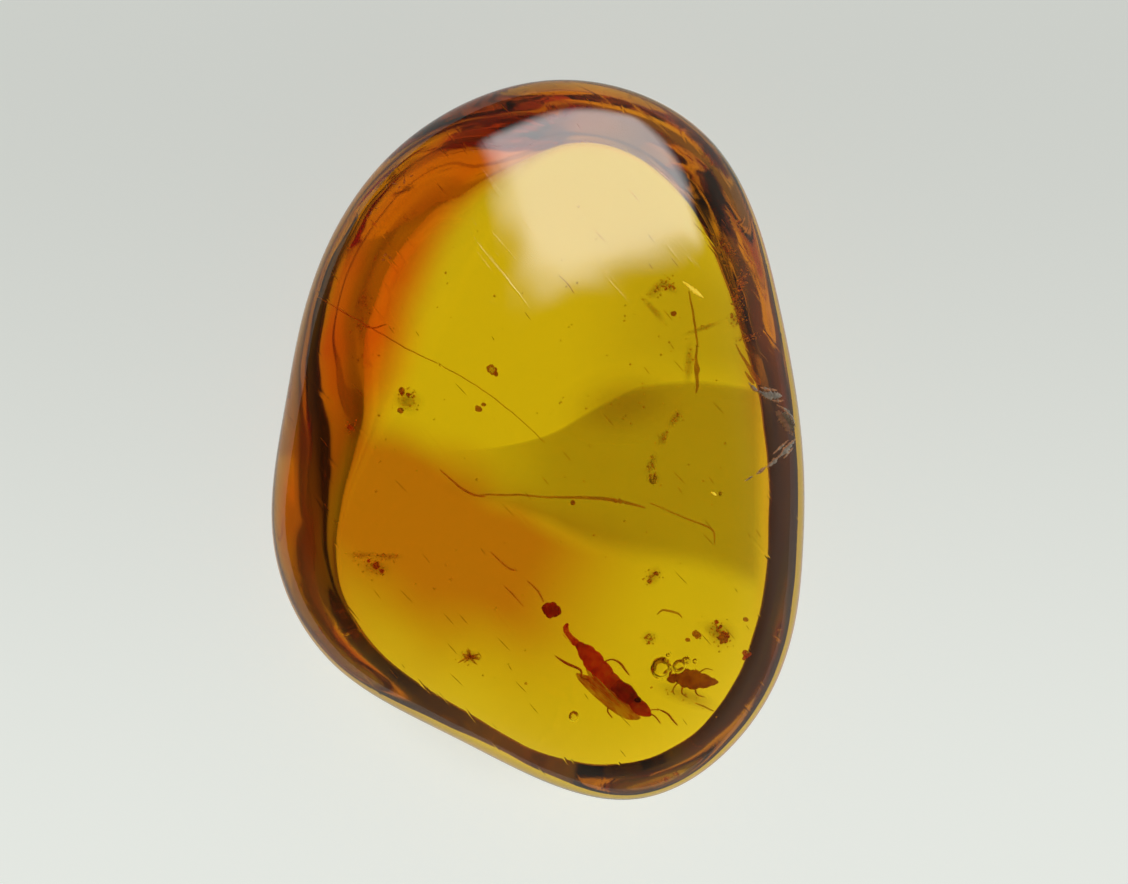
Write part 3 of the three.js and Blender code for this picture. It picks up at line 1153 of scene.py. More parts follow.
# The grey patch of the chip: x, y, depth under the dome, width
CHIP = (
    ((6.60, 0.80, 0.05, 0.02), (6.74, 0.70, 0.04, 0.26), (6.90, 0.50, 0.03, 0.36),
     (7.02, 0.28, 0.03, 0.26), (7.10, 0.10, 0.03, 0.02)),
)
# Small white nicks in the polish: x, y, length, turn in degrees
NICKS = (
    (-4.66, 6.30, 0.16, 60),
    (-4.50, 6.44, 0.08, 20),
    (-4.22, 7.06, 0.12, 80),
    (-4.00, 7.12, 0.20, -10),
    (-3.86, 7.02, 0.10, 70),
    (-3.72, 7.18, 0.18, 85),
    (-3.52, 7.34, 0.12, 20),
    (-4.25, 5.14, 0.12, 45),
    (-4.12, 5.06, 0.12, -45),
    (-4.30, 5.00, 0.10, 0),
)

# Sheets of painted shade: the upper and the lower edge, each x, y from left to right. A softness is
# that of the upper, lower, left and right edges, as shares of the sheet, and a height is in
# millimetres.
OLIVE_PAINTED_SHADE = (
    ((-2.9, -0.30), (-1.4, -0.22), (0.2, 0.12), (1.5, 0.85), (2.6, 1.42), (3.6, 1.62),
     (4.8, 1.64), (6.3, 1.40)),
    ((-2.9, -1.60), (-1.4, -1.80), (0.2, -2.40), (1.5, -3.10), (2.6, -3.50), (3.6, -3.70),
     (4.8, -3.95), (6.3, -4.50)),
)
OLIVE_SHADE_HEIGHT = 1.5
OLIVE_SHADE_SOFTNESS = (0.03, 0.16, 0.35, 0.05)
# The brown sheet is painted shade too: it darkens the upper right, denser towards the right.
BROWN_PAINTED_SHADE = (
    ((0.6, 6.20), (1.8, 6.60), (3.2, 6.60), (4.6, 6.00), (6.2, 5.00)),
    ((0.6, 0.20), (1.8, 0.80), (3.2, 1.20), (4.6, 1.20), (6.2, 1.00)),
)
BROWN_SHADE_HEIGHT = 1.9
BROWN_SHADE_SOFTNESS = (0.5, 0.3, 0.7, 0.05)
BROWN_SHADE_SHARE = 0.6  # strength of the brown painted shade, as a share of the olive one's
SHADE_SHEET_WAVE = 0.08


# ---------------------------------------------------------------------------------------------
# Making groups of pieces
# ---------------------------------------------------------------------------------------------


def body_part(name, tree, height, rows, rings=0, sides=24):
    """A smooth body part through rows of x, y, rise, width and depth, with rings pinched in."""
    steps = 10
    places = [sealed(tree, x, y, height + rise * MM) for x, y, rise, _, _ in rows]
    widths = smooth_numbers([row[3] * MM for row in rows], steps)
    depths = smooth_numbers([row[4] * MM for row in rows], steps)
    last = len(widths) - 1
    for k in range(last + 1):
        pinch = 1 - 0.14 * abs(math.cos(math.pi * rings * k / last)) ** 6 if rings else 1
        widths[k] *= pinch
        depths[k] *= pinch
    bm = bmesh.new()
    add_limb(bm, smooth_path(places, steps), widths, depths, sides)
    return finish_mesh(name, bm)


def hairs(name, tree, height, strands, material, waver=0.01 * MM, thickening=1.0):
    """Hairs sealed at a height, one plain mesh, from strands of x, y, rise and thickness."""
    placed = [
        [
            (sealed(tree, x, y, height + rise * MM), thickness * thickening * MM)
            for x, y, rise, thickness in strand
        ]
        for strand in strands
    ]
    values = {"Material": material, "Waver": waver}
    return grow(name, curve_source(placed), hair_group(), values)


def grains(name, tree, height, rows, material, seed, lumpiness=0.7, flat=(1.0, 0.8, 0.7)):
    """Lumpy grains sealed at a height, one plain mesh, from rows of x, y, rise and size."""
    places = [sealed(tree, x, y, height + rise * MM) for x, y, rise, _ in rows]
    sizes = [size * MM for _, _, _, size in rows]
    values = {"Material": material, "Seed": seed, "Lumpiness": lumpiness, "Stretch": flat}
    return grow(name, point_source(places, sizes), grain_group(), values)


def cloud_rows(clouds, seed):
    """Rows of x, y, rise and size for the crumbs of loose clouds."""
    chance = random.Random(seed)
    rows = []
    for x, y, rise, along, across, turn, count, size in clouds:
        cosine = math.cos(math.radians(turn))
        sine = math.sin(math.radians(turn))
        for _ in range(count):
            u = along * chance.gauss(0.0, 0.5)
            v = across * chance.gauss(0.0, 0.5)
            place = (x + u * cosine - v * sine, y + u * sine + v * cosine)
            crumb_rise = rise + chance.uniform(-0.15, 0.15)
            rows.append((*place, crumb_rise, size * chance.uniform(0.4, 1.4)))
    return rows


def dust_rows(count, seed):
    """Rows of x, y, rise and size for dust all through the clear middle."""
    chance = random.Random(seed)
    rows = []
    for _ in range(count):
        turn = chance.uniform(0.0, 2 * math.pi)
        reach = math.sqrt(chance.random())
        x = DUST_REACH[0] * reach * math.cos(turn)
        y = DUST_REACH[1] * reach * math.sin(turn)
        rows.append((x, y, chance.uniform(-0.8, 0.8), 0.035 + 0.05 * chance.random() ** 2))
    return rows


def film(name, tree, strands, seed, flatness=0.25, sides=8):
    """Ragged thin films lying along the dome, from strands of x, y, depth and width."""
    chance = random.Random(seed)
    steps = 9
    bm = bmesh.new()
    for strand in strands:
        places = [on_dome(tree, x, y, depth) for x, y, depth, _ in strand]
        path = smooth_path(places, steps)
        widths = smooth_numbers([row[3] * MM for row in strand], steps)
        ragged = [width * chance.uniform(0.55, 1.25) for width in widths]
        depths = [width * flatness for width in ragged]
        add_limb(bm, path, ragged, depths, sides)
    return finish_mesh(name, bm)


def painted_shade_sheet(name, tree, edges, height, softness):
    """A thin wavy sheet of painted shade between an upper and a lower edge, with how dense it is at
    each point. The softness of its upper, lower, left and right edges are shares of its size."""
    across = 72
    down = 44
    upper, lower = (smooth_path([Vector((*p, 0.0)) for p in edge], 12) for edge in edges)
    top_soft, low_soft, left_soft, right_soft = softness
    bm = bmesh.new()
    fade = bm.verts.layers.float.new("fade")
    rows = []
    for k in range(across + 1):
        u = k / across
        place = u * (len(upper) - 1)
        start = min(int(place), len(upper) - 2)
        above = upper[start].lerp(upper[start + 1], place - start)
        below = lower[start].lerp(lower[start + 1], place - start)
        row = []
        for j in range(down + 1):
            v = j / down
            p = above.lerp(below, v)
            ripple = SHADE_SHEET_WAVE * math.sin(2.1 * p.x + 0.7 * p.y) * math.cos(1.3 * p.y)
            corner = bm.verts.new(sealed(tree, p.x, p.y, (height + ripple) * MM))
            shares = (v / top_soft, (1 - v) / low_soft, u / left_soft, (1 - u) / right_soft)
            corner[fade] = math.prod(smooth_step(share) for share in shares)
            row.append(corner)
        rows.append(row)
    for left, right in zip(rows, rows[1:]):
        for j in range(down):
            bm.faces.new((left[j], left[j + 1], right[j + 1], right[j]))
    return finish_mesh(name, bm)


def puffs(name, tree, height, clouds):
    """Soft flat puffs of haze round the clouds' places, one mesh, densest in the middle."""
    spokes = 28
    bm = bmesh.new()
    fade = bm.verts.layers.float.new("fade")
    for x, y, rise, along, across, turn, _, _ in clouds:
        cosine = math.cos(math.radians(turn))
        sine = math.sin(math.radians(turn))
        level = height + rise * MM
        middle = bm.verts.new(sealed(tree, x, y, level))
        middle[fade] = 1.0
        inner = [middle] * spokes
        for share in (0.25, 0.5, 0.75, 1.0):
            ring = []
            for k in range(spokes):
                angle = 2 * math.pi * k / spokes
                u = PUFF_SPREAD * along * share * math.cos(angle)
                v = PUFF_SPREAD * across * share * math.sin(angle)
                place = sealed(tree, x + u * cosine - v * sine, y + u * sine + v * cosine, level)
                corner = bm.verts.new(place)
                corner[fade] = 1 - smooth_step(share)
                ring.append(corner)
            for k in range(spokes):
                after = (k + 1) % spokes
                corners = (inner[k], ring[k], ring[after], inner[after])
                bm.faces.new(list(dict.fromkeys(corners)))
            inner = ring
    return finish_mesh(name, bm)


# ---------------------------------------------------------------------------------------------
# Settings
# ---------------------------------------------------------------------------------------------


def colour_property(name, description, default):
    """A colour setting in linear light."""
    return FloatVectorProperty(
        name=name, description=description, subtype="COLOR", min=0.0, max=1.0, default=default
    )


def length_property(name, description, default):
    """A length setting in metres."""
    return FloatProperty(
        name=name, description=description, subtype="DISTANCE", unit="LENGTH", default=default
    )


class AmberPebbleSettings(bpy.types.PropertyGroup):
    ior: FloatProperty(
        name="Index of refraction",
        description="How strongly the resin bends light",
        default=1.54,
        min=1.0,
    )
    roughness: FloatProperty(
        name="Roughness",
        description="How dull the polish is",
        subtype="FACTOR",
        min=0.0,
        max=1.0,
        default=0.02,
    )
    tint: colour_property(
        "Skin tint", "Tint that the skin gives to what is seen through it", (0.99, 0.765, 0.5)
    )
    # Partly a weathered rind, partly painted shade of the band round the girth.
    rind_and_shade: colour_property(
        "Rind and shade tint", "Tint of the redder rind round the girth, partly painted shade", (0.94, 0.07, 0.005)
    )
    edge: colour_property("Edge tint", "Greyer, darker tint at the girth", (0.52, 0.34, 0.22))
    # Painted shade: the orange tint along the flat back.
    flow: colour_property("Orange shade tint", "Tint of the painted shade along the flat back", (0.58, 0.085, 0.1))
    orange_shade_strength: FloatProperty(
        name="Orange shade strength", description="How dense that painted shade is", default=0.95
    )
    absorption: FloatVectorProperty(
        name="Absorption",
        description="Red, green and blue light taken by each millimetre of resin",
        default=(0.0125, 0.034, 0.85),
    )


class AmberInsectSettings(bpy.types.PropertyGroup):
    height: length_property("Height", "Height of the insect over the flat back", 2.6 * MM)
    limb_thickening: FloatProperty(
        name="Limb thickening", description="Scale of the legs' and feelers' thickness", default=1.0
    )
    shell_dark: colour_property("Dark shell", "Darkest mottles of the shell", (0.68, 0.07, 0.01))
    shell_mid: colour_property("Shell", "Main colour of the shell", (0.95, 0.18, 0.012))
    shell_bright: colour_property("Bright shell", "Lightest mottles", (1.0, 0.40, 0.03))
    eye_dark: colour_property("Dark eye", "Darkest mottles of the eyes", (0.10, 0.01, 0.002))
    eye: colour_property("Eye", "Main colour of the eyes", (0.22, 0.02, 0.004))
    chest_dark: colour_property("Dark chest", "Darkest mottles of the chest", (0.46, 0.05, 0.01))
    chest: colour_property("Chest", "Main colour of the chest", (0.72, 0.10, 0.012))
    wing: colour_property("Wing", "Colour of the folded wings", (0.80, 0.34, 0.03))
    vein: colour_property("Vein", "Colour of the pale veins", (1.0, 0.85, 0.55))


class AmberSmallInsectSettings(bpy.types.PropertyGroup):
    height: length_property("Height", "Height of the insect over the flat back", 2.6 * MM)
    shell_dark: colour_property("Dark shell", "Darkest mottles of the shell", (0.62, 0.26, 0.02))
    shell_mid: colour_property("Shell", "Main colour of the shell", (0.82, 0.44, 0.03))
    shell_bright: colour_property("Bright shell", "Lightest mottles", (0.92, 0.58, 0.05))


class AmberBubblesSettings(bpy.types.PropertyGroup):
    height: length_property("Height", "Height of the bubbles over the flat back", 2.8 * MM)


class AmberDebrisSettings(bpy.types.PropertyGroup):
    height: length_property("Height", "Height of the debris over the flat back", 2.8 * MM)
    dust_count: IntProperty(name="Dust", description="Number of dust grains", default=110, min=1)
    seed: IntProperty(name="Seed", description="Start of the random draws", default=11)
    dark: colour_property("Dark crumbs", "Darkest debris", (0.75, 0.26, 0.02))
    brown: colour_property("Brown crumbs", "Lighter debris", (0.95, 0.50, 0.04))
    murk: colour_property("Murk", "Haze round the clouds of crumbs", (0.44, 0.10, 0.006))
    haze: colour_property("Haze crumbs", "Finest debris", (0.95, 0.74, 0.12))
    red: colour_property("Red crumbs", "Reddish debris", (0.92, 0.16, 0.02))
    pale: colour_property("Pale crumbs", "Pale debris", (1.0, 0.85, 0.45))


class AmberHairsSettings(bpy.types.PropertyGroup):
    height: length_property("Height", "Height of the hairs over the flat back", 3.2 * MM)
    brown: colour_property("Brown threads", "Lighter parts of the threads", (0.95, 0.60, 0.05))
    brown_dark: colour_property("Dark brown", "Darker parts of the threads", (0.80, 0.40, 0.03))
    red: colour_property("Red threads", "Lighter parts of the red threads", (0.95, 0.40, 0.03))
    red_dark: colour_property("Dark red", "Darker parts of the red threads", (0.80, 0.24, 0.02))
    star_reach: length_property("Star reach", "Length of the longest ray of the plant hair", 0.5 * MM)
    star_rays: IntProperty(name="Star rays", description="Rays of the plant hair", default=9, min=3)


class AmberPaintedShadeSettings(bpy.types.PropertyGroup):
    # Painted shade: the olive sheet darkens the middle, the brown one the upper right.
    olive_shade: colour_property("Olive painted shade", "Colour of the olive painted shade", (0.30, 0.06, 0.002))
    olive_shade_strength: FloatProperty(
        name="Olive shade strength", description="How dense the olive painted shade is", default=0.42
    )


class AmberMarksSettings(bpy.types.PropertyGroup):
    dark: colour_property("Dark marks", "Darkest of the rubbing marks", (0.45, 0.20, 0.015))
    pale: colour_property("Pale marks", "Lightest of the rubbing marks", (0.8, 0.45, 0.04))
    density: FloatProperty(
        name="Marks", description="Rubbing marks on each square metre of the dome", default=0.35e6
    )
    length: length_property("Length", "Usual length of a rubbing mark", 0.4 * MM)
    direction: FloatProperty(
        name="Direction",
        description="Direction of the marks from the pebble's width",
        subtype="ANGLE",
        default=math.radians(-52),
    )


class AmberStageSettings(bpy.types.PropertyGroup):
    floor_colour: colour_property("Floor", "Colour of the pale floor", (0.40, 0.408, 0.392))
    floor_glow: FloatProperty(name="Floor glow", description="Light from the floor", default=0.58)
    pool_glow: FloatProperty(
        name="Pool glow", description="Light from the floor where the soft pool lies", default=0.76
    )
    sky: FloatProperty(name="Sky", description="Strength of the soft surrounding light", default=1.0)
    sky_lean: FloatVectorProperty(
        name="Sky lean",
        description="Direction in which the surrounding light is strongest",
        subtype="DIRECTION",
        default=(0.95, -0.3, 0.0),
    )
    window_light: FloatProperty(
        name="Window light", description="Brightness of the window", default=6.5
    )
    window_place: FloatVectorProperty(
        name="Window place",
        description="Middle of the window light",
        subtype="TRANSLATION",
        unit="LENGTH",
        default=(0.07, 0.25, 0.30),
    )
    window_size: FloatVectorProperty(
        name="Window size",
        description="Width and height of the window light",
        size=2,
        unit="LENGTH",
        default=(0.40, 0.37),
    )
    window_roll: FloatProperty(
        name="Window roll",
        description="Turn of the window in its own plane",
        subtype="ANGLE",
        default=math.radians(-57),
    )


# ---------------------------------------------------------------------------------------------
# Operators
# ---------------------------------------------------------------------------------------------


class AMBER_OT_pebble(bpy.types.Operator):
    """Builds the polished pebble of clear resin"""

    bl_idname = "amber.pebble"
    bl_label = "Pebble"

    def execute(self, context):
        bm = bmesh.new()
        add_skin(bm, pebble_rings())
        pebble = finish_mesh(PEBBLE, bm)
        paint_rind_and_shade(pebble.data)
        settle(pebble, "amber", amber_material(context.scene.amber_pebble))
        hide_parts("amber")
        return {"FINISHED"}


class AMBER_OT_insect(bpy.types.Operator):
    """Builds the long insect: body, head, eyes, tail, folded wings, legs and feelers"""

    bl_idname = "amber.insect"
    bl_label = "Long insect"

    def execute(self, context):
        settings = context.scene.amber_insect
        tree = pebble_tree()
        height = settings.height
        shell = chitin_material(
            "insect_shell", settings.shell_dark, settings.shell_mid, settings.shell_bright
        )
        dark = chitin_material(
            "insect_eye_shell", settings.eye_dark, settings.eye, settings.shell_dark
        )
        chest = chitin_material(
            "insect_chest_shell", settings.chest_dark, settings.chest, settings.shell_mid
        )
        settle(body_part("insect_abdomen", tree, height, ABDOMEN, rings=6), "insect", shell)
        settle(body_part("insect_thorax", tree, height, THORAX, rings=3), "insect", chest)
        settle(body_part("insect_head", tree, height, HEAD), "insect", shell)
        settle(body_part("insect_tail", tree, height, TAIL, rings=7), "insect", shell)
        settle(body_part("insect_lump", tree, height, LUMP, rings=3), "insect", chest)
        wing = wing_material("insect_wing_film", settings.wing, settings.vein)
        settle(body_part("insect_upper_wing", tree, height, UPPER_WING), "insect", wing)
        settle(body_part("insect_lower_wing", tree, height, LOWER_WING), "insect", wing)
        eyes = grains("insect_eyes", tree, height, EYE_SPOTS, dark, 1, 0.2)
        settle(eyes, "insect")
        leg = chitin_material("insect_leg_shell", settings.shell_dark, settings.wing, settings.wing)
        limbs = hairs(
            "insect_limbs", tree, height, LIMBS, leg, thickening=settings.limb_thickening
        )
        settle(limbs, "insect")
        pale = wing_material("insect_vein_film", settings.vein, settings.vein)
        settle(hairs("insect_veins", tree, height, VEINS, pale), "insect")
        return {"FINISHED"}


class AMBER_OT_small_insect(bpy.types.Operator):
    """Builds the small brown insect beside the bubbles"""

    bl_idname = "amber.small_insect"
    bl_label = "Small insect"

    def execute(self, context):
        settings = context.scene.amber_small_insect
        tree = pebble_tree()
        shell = chitin_material(
            "small_insect_shell", settings.shell_dark, settings.shell_mid, settings.shell_bright
        )
        height = settings.height
        body = body_part("small_insect_body", tree, height, SMALL_BODY, rings=5)
        settle(body, "insect", shell)
        settle(body_part("small_insect_head", tree, height, SMALL_HEAD), "insect", shell)
        settle(hairs("small_insect_limbs", tree, height, SMALL_LIMBS, shell), "insect")
        return {"FINISHED"}


class AMBER_OT_bubbles(bpy.types.Operator):
    """Builds the gas bubbles"""

    bl_idname = "amber.bubbles"
    bl_label = "Gas bubbles"

    def execute(self, context):
        tree = pebble_tree()
        height = context.scene.amber_bubbles.height
        gas = gas_material(context.scene.amber_pebble.ior)
        bubbles = grains("gas_bubbles", tree, height, BUBBLES, gas, 2, 0.12, (1.0, 0.92, 0.9))
        settle(bubbles, "gas")
        return {"FINISHED"}


class AMBER_OT_debris(bpy.types.Operator):
    """Scatters bark crumbs, red crumbs, pale crumbs, their clouds and dust"""

    bl_idname = "amber.debris"
    bl_label = "Crumbs and dust"

    def execute(self, context):
        settings = context.scene.amber_debris
        tree = pebble_tree()
        height = settings.height
        seed = settings.seed
        brown = debris_material("brown_crumb", settings.dark, settings.brown, BROWN_CLEAR)
        red = debris_material("red_crumb", settings.dark, settings.red, RED_CLEAR)
        pale = frost_material("pale_crumb", settings.pale)
        settle(grains("brown_crumbs", tree, height, DARK_GRAINS, brown, seed), "debris")
        settle(grains("red_crumbs", tree, height, RED_GRAINS, red, seed + 1), "debris")
        settle(grains("pale_crumbs", tree, height, PALE_GRAINS, pale, seed + 2), "debris")
        crumbs = cloud_rows(CLOUDS, seed)
        haze = debris_material("haze_crumb", settings.brown, settings.haze, HAZE_CLEAR)
        settle(grains("crumb_clouds", tree, height, crumbs, haze, seed + 3, 0.9), "debris")
        murk = haze_and_painted_shade_material("haze", settings.murk, MURK_STRENGTH)
        settle(puffs("cloud_haze", tree, height, CLOUDS), "flow", murk)
        dust = dust_rows(settings.dust_count, seed)
        settle(grains("dust", tree, height, dust, haze, seed + 4, 0.9), "debris")
        return {"FINISHED"}


class AMBER_OT_hairs(bpy.types.Operator):
    """Builds the threads, stems, spikes and the star-shaped plant hair"""

    bl_idname = "amber.hairs"
    bl_label = "Threads and plant hairs"

    def execute(self, context):
        settings = context.scene.amber_hairs
        tree = pebble_tree()
        height = settings.height
        brown = debris_material("brown_thread", settings.brown_dark, settings.brown, THREAD_CLEAR)
        red = debris_material("red_thread", settings.red_dark, settings.red, THREAD_CLEAR)
        threads = hairs("brown_threads", tree, height, BROWN_HAIRS, brown, THREAD_WAVER)
        settle(threads, "debris")
        settle(hairs("red_threads", tree, height, RED_HAIRS, red, THREAD_WAVER), "debris")
        star = hairs("plant_hair_star", tree, height, self.star(settings), brown)
        settle(star, "debris")
        return {"FINISHED"}

    def star(self, settings):
        """The rays of the plant hair, bent and of uneven length."""
        chance = random.Random(STAR_SEED)
        reach = settings.star_reach / MM
        rays = []
        for k in range(settings.star_rays):
            turn = 2 * math.pi * k / settings.star_rays + chance.uniform(-0.2, 0.2)
            length = reach * chance.uniform(0.55, 1.0)
            bend = chance.uniform(-0.35, 0.35)
            ray = []
            for share, thickness in STAR_TAPER:
                heading = turn + bend * share
                x = STAR_MIDDLE[0] + length * share * math.cos(heading)
                y = STAR_MIDDLE[1] + STAR_FLATNESS * length * share * math.sin(heading)
                ray.append((x, y, 0.1 * share * math.sin(3 * turn), thickness))
            rays.append(ray)
        return rays


class AMBER_OT_cracks(bpy.types.Operator):
    """Builds the crack faces with a painted golden glint, and the frosted cracks, chip and nicks near
    the skin
    """

    bl_idname = "amber.cracks"
    bl_label = "Cracks and nicks"

    def execute(self, context):
        tree = pebble_tree()
        frost = frost_material("frosted_crack", (1.0, 0.97, 0.92))
        settle(film("cracks_painted_glint", tree, FLASHES, 7), "flow", painted_glint_material())
        settle(film("edge_cracks", tree, EDGE_CRACKS, 8), "flow", frost)
        grey = frost_material("chipped_resin", (0.62, 0.50, 0.36))
        settle(film("edge_chip", tree, CHIP, 10, 0.06), "flow", grey)
        strands = []
        for x, y, length, turn in NICKS:
            along = Vector((math.cos(math.radians(turn)), math.sin(math.radians(turn))))
            ends = [Vector((x, y)) + along * length * share for share in (-0.5, 0.0, 0.5)]
            strands.append([(p.x, p.y, 0.02, w) for p, w in zip(ends, (0.01, 0.05, 0.01))])
        settle(film("polish_nicks", tree, strands, 9), "flow", frost)
        return {"FINISHED"}


class AMBER_OT_painted_shade(bpy.types.Operator):
    """Builds the olive and the brown sheets of painted shade inside the resin"""

    bl_idname = "amber.veils"
    bl_label = "Painted shade sheets"

    def execute(self, context):
        settings = context.scene.amber_veils
        tree = pebble_tree()
        # Painted shade: two see-through sheets in the resin that darken the middle and the upper
        # right.
        olive_shade = painted_shade_sheet("olive_painted_shade", tree, OLIVE_PAINTED_SHADE, OLIVE_SHADE_HEIGHT, OLIVE_SHADE_SOFTNESS)
        olive_shade_film = haze_and_painted_shade_material("olive_painted_shade_film", settings.olive_shade, settings.olive_shade_strength)
        settle(olive_shade, "flow", olive_shade_film)
        brown = painted_shade_sheet("brown_painted_shade", tree, BROWN_PAINTED_SHADE, BROWN_SHADE_HEIGHT, BROWN_SHADE_SOFTNESS)
        strength = BROWN_SHADE_SHARE * settings.olive_shade_strength
        brown_shade_film = haze_and_painted_shade_material("brown_painted_shade_film", settings.olive_shade, strength)
        settle(brown, "flow", brown_shade_film)
        return {"FINISHED"}


class AMBER_OT_marks(bpy.types.Operator):
    """Scatters fine rubbing marks just under the dome's skin"""

    bl_idname = "amber.marks"
    bl_label = "Rubbing marks"

    def execute(self, context):
        settings = context.scene.amber_marks
        pebble = bpy.data.objects.get(PEBBLE)
        if pebble is None:
            raise RuntimeError("build the pebble first")
        source = bpy.data.objects.new("marks_source", pebble.data.copy())
        context.scene.collection.objects.link(source)
        rubbed = debris_material("rubbed_mark", settings.dark, settings.pale, THREAD_CLEAR)
        values = {
            "Density": settings.density,
            "Length": settings.length,
            "Direction": settings.direction,
            "Material": rubbed,
        }
        settle(grow("rubbing_marks", source, sliver_group(), values), "debris")
        return {"FINISHED"}


class AMBER_OT_stage(bpy.types.Operator):
    """Sets up the pale floor, the soft light, the window and the camera"""

    bl_idname = "amber.stage"
    bl_label = "Stage"

    def execute(self, context):
        settings = context.scene.amber_stage
        self.floor(settings)
        self.surroundings(context.scene, settings)
        self.window(context.scene, settings)
        camera = bpy.data.cameras.new("camera")
        camera.lens = LENS
        camera.sensor_width = SENSOR
        camera.clip_start = MM
        holder = bpy.data.objects.new("camera", camera)
        holder.location = EYE
        context.scene.collection.objects.link(holder)
        context.scene.camera = holder
        context.scene.view_settings.view_transform = "Standard"
        context.scene.cycles.glossy_bounces = GLOSSY_BOUNCES
        context.scene.cycles.max_bounces = MOST_BOUNCES
        context.scene.cycles.transmission_bounces = MOST_BOUNCES
        return {"FINISHED"}

    def floor(self, settings):
        """A wide pale sheet, lit from under like a light table."""
        bm = bmesh.new()
        height = LOWEST.z - FLOOR_GAP
        corners = ((-1, -1), (1, -1), (1, 1), (-1, 1))
        bm.faces.new([bm.verts.new((x * FLOOR_REACH, y * FLOOR_REACH, height)) for x, y in corners])
        sheet = finish_mesh("floor", bm)
        material, tree, shader = new_material("pale_floor")
        paper = noise(tree, 60.0, 3.0)
        dull = [0.97 * c for c in settings.floor_colour]
        colour = ramp(tree, paper, [(0.3, dull), (0.7, tuple(settings.floor_colour))])
        tree.links.new(colour, shader.inputs["Base Color"])
        where = tree.nodes.new("ShaderNodeTexCoord")
        parts = tree.nodes.new("ShaderNodeSeparateXYZ")
        tree.links.new(where.outputs["Object"], parts.inputs["Vector"])
        near = eased(tree, parts.outputs["Y"], *POOL_NEAR)
        shape = tree.nodes.new("ShaderNodeMapping")
        shape.inputs["Scale"].default_value = (1 / HIGHEST.x, 1 / HIGHEST.y, 0.0)
        tree.links.new(where.outputs["Object"], shape.inputs["Vector"])
        ring = tree.nodes.new("ShaderNodeVectorMath")
        ring.operation = "LENGTH"
        tree.links.new(shape.outputs["Vector"], ring.inputs[0])
        pool = multiplied(tree, near, eased(tree, ring.outputs["Value"], *POOL_RING))
        glow = mapped(tree, pool, 0.0, 1.0, settings.floor_glow, settings.pool_glow)
        tree.links.new(glow, shader.inputs["Emission Strength"])
        shader.inputs["Roughness"].default_value = 0.9
        shader.inputs["Specular IOR Level"].default_value = 0.0
        shader.inputs["Emission Color"].default_value = (0.96, 1.0, 0.95, 1.0)
        sheet.data.materials.append(material)

    def surroundings(self, scene, settings):
        """Soft light all round, strongest high up, behind a plain pale backdrop."""
        world = bpy.data.worlds.new("soft_surroundings")
        world.use_nodes = True
        scene.world = world
        tree = world.node_tree
        background = tree.nodes["Background"]
        coordinates = tree.nodes.new("ShaderNodeTexCoord")
        parts = tree.nodes.new("ShaderNodeSeparateXYZ")
        tree.links.new(coordinates.outputs["Generated"], parts.inputs["Vector"])
        elevation = mapped(tree, parts.outputs["Z"], -1.0, 1.0, 0.0, 1.0)
        shades = [(place, (shade, shade, shade)) for place, shade in SKY_BANDS]
        light = ramp(tree, elevation, shades)
        light.node.color_ramp.interpolation = "EASE"
        backdrop = tree.nodes.new("ShaderNodeMix")
        sight = tree.nodes.new("ShaderNodeLightPath")
        seen = sight.outputs["Is Camera Ray"]
        tree.links.new(seen, backdrop.inputs["Factor"])
        lean = tree.nodes.new("ShaderNodeVectorMath")
        lean.operation = "DOT_PRODUCT"
        lean.inputs[1].default_value = settings.sky_lean
        tree.links.new(coordinates.outputs["Generated"], lean.inputs[0])
        dim, bright = (share * settings.sky for share in SKY_SIDES)
        side = mapped(tree, lean.outputs["Value"], -0.9, 0.9, dim, bright)
        tree.links.new(multiplied(tree, light, side), backdrop.inputs["A"])
        backdrop.inputs["B"].default_value = BACKDROP
        tree.links.new(backdrop.outputs["Result"], background.inputs["Strength"])
        colour = ramp(tree, seen, [(0.0, SKY_COLOUR), (1.0, BACKDROP_COLOUR)])
        tree.links.new(colour, background.inputs["Color"])

    def window(self, scene, settings):
        """A large soft window that only shows as a reflection on the polish."""
        light = bpy.data.lights.new("window", "AREA")
        light.shape = "RECTANGLE"
        light.size, light.size_y = settings.window_size
        light.energy = settings.window_light * light.size * light.size_y * math.pi
        holder = bpy.data.objects.new("window", light)
        place = Vector(settings.window_place)
        aim = WINDOW_AIM - place
        roll = Quaternion((0.0, 0.0, 1.0), settings.window_roll)
        turn = aim.to_track_quat("-Z", "Y") @ roll
        holder.location = place
        holder.rotation_mode = "QUATERNION"
        holder.rotation_quaternion = turn
        holder.visible_camera = False
        holder.visible_diffuse = False
        holder.visible_transmission = False
        self.soften(light)
        scene.collection.objects.link(holder)

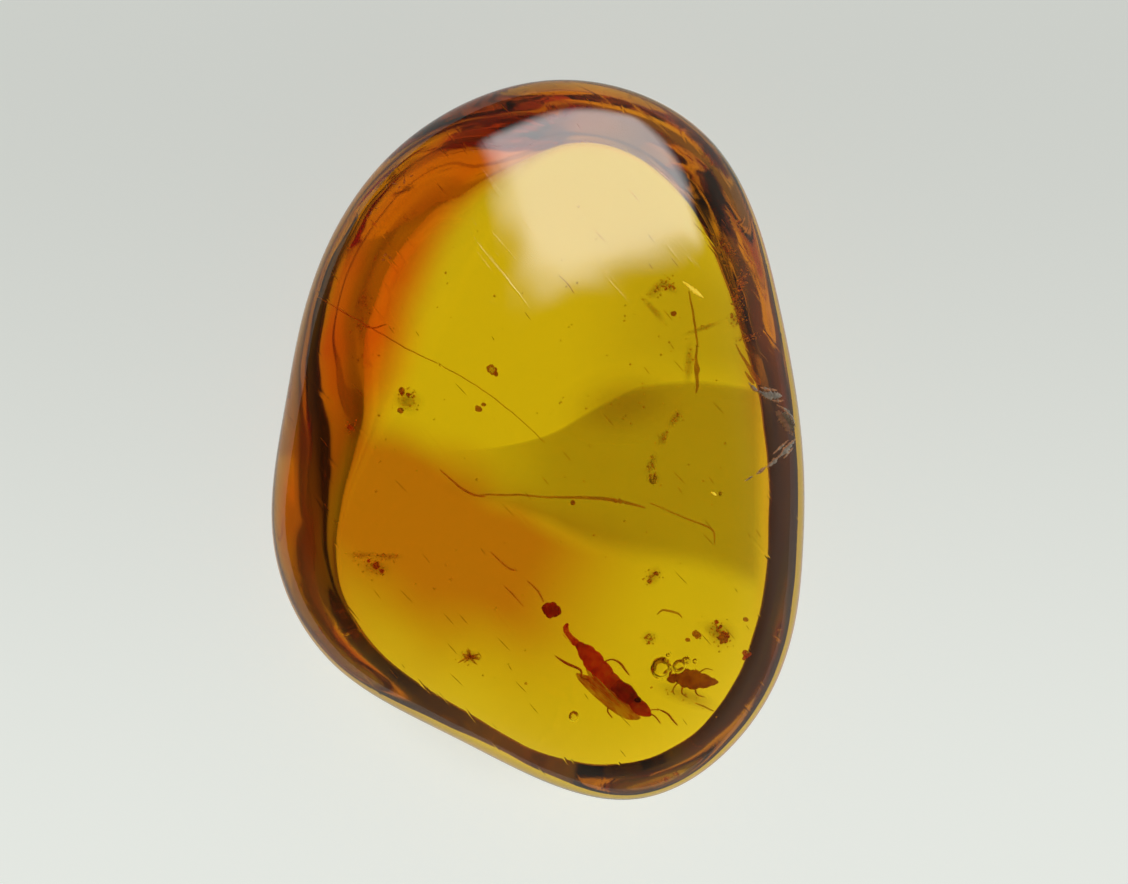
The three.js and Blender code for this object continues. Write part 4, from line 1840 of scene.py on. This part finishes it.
    def soften(self, light):
        """Fades the window's light towards its four edges."""
        light.use_nodes = True
        tree = light.node_tree
        where = tree.nodes.new("ShaderNodeNewGeometry")
        parts = tree.nodes.new("ShaderNodeSeparateXYZ")
        tree.links.new(where.outputs["Parametric"], parts.inputs["Vector"])
        shares = []
        for axis in ("X", "Y"):
            fold = tree.nodes.new("ShaderNodeMath")
            fold.operation = "PINGPONG"
            fold.inputs[1].default_value = 0.5
            tree.links.new(parts.outputs[axis], fold.inputs[0])
            shares.append(eased(tree, fold.outputs["Value"], 0.0, WINDOW_SOFTNESS))
        tree.links.new(multiplied(tree, *shares), tree.nodes["Emission"].inputs["Strength"])


# ---------------------------------------------------------------------------------------------
# Panel, registration and the run
# ---------------------------------------------------------------------------------------------

SETTINGS = {
    "amber_pebble": AmberPebbleSettings,
    "amber_insect": AmberInsectSettings,
    "amber_small_insect": AmberSmallInsectSettings,
    "amber_bubbles": AmberBubblesSettings,
    "amber_debris": AmberDebrisSettings,
    "amber_hairs": AmberHairsSettings,
    "amber_veils": AmberPaintedShadeSettings,
    "amber_marks": AmberMarksSettings,
    "amber_stage": AmberStageSettings,
}
OPERATORS = (
    AMBER_OT_stage,
    AMBER_OT_pebble,
    AMBER_OT_insect,
    AMBER_OT_small_insect,
    AMBER_OT_bubbles,
    AMBER_OT_debris,
    AMBER_OT_hairs,
    AMBER_OT_cracks,
    AMBER_OT_painted_shade,
    AMBER_OT_marks,
)


class AMBER_PT_sidebar(bpy.types.Panel):
    """Lists the builders and their settings"""

    bl_idname = "AMBER_PT_sidebar"
    bl_label = "Insect in amber"
    bl_space_type = "VIEW_3D"
    bl_region_type = "UI"
    bl_category = "Amber"

    def draw(self, context):
        for operator in OPERATORS:
            self.layout.operator(operator.bl_idname)
            settings = getattr(context.scene, operator.bl_idname.replace(".", "_"), None)
            if settings is not None:
                for name in settings.__annotations__:
                    self.layout.prop(settings, name)


CLASSES = (*SETTINGS.values(), *OPERATORS, AMBER_PT_sidebar)


def register():
    for cls in CLASSES:
        bpy.utils.register_class(cls)
    for name, group in SETTINGS.items():
        setattr(bpy.types.Scene, name, PointerProperty(type=group))


def unregister():
    for name in SETTINGS:
        delattr(bpy.types.Scene, name)
    for cls in reversed(CLASSES):
        bpy.utils.unregister_class(cls)


def main():
    register()
    for operator in OPERATORS:
        getattr(bpy.ops.amber, operator.bl_idname.split(".")[1])()


if __name__ == "__main__":
    main()
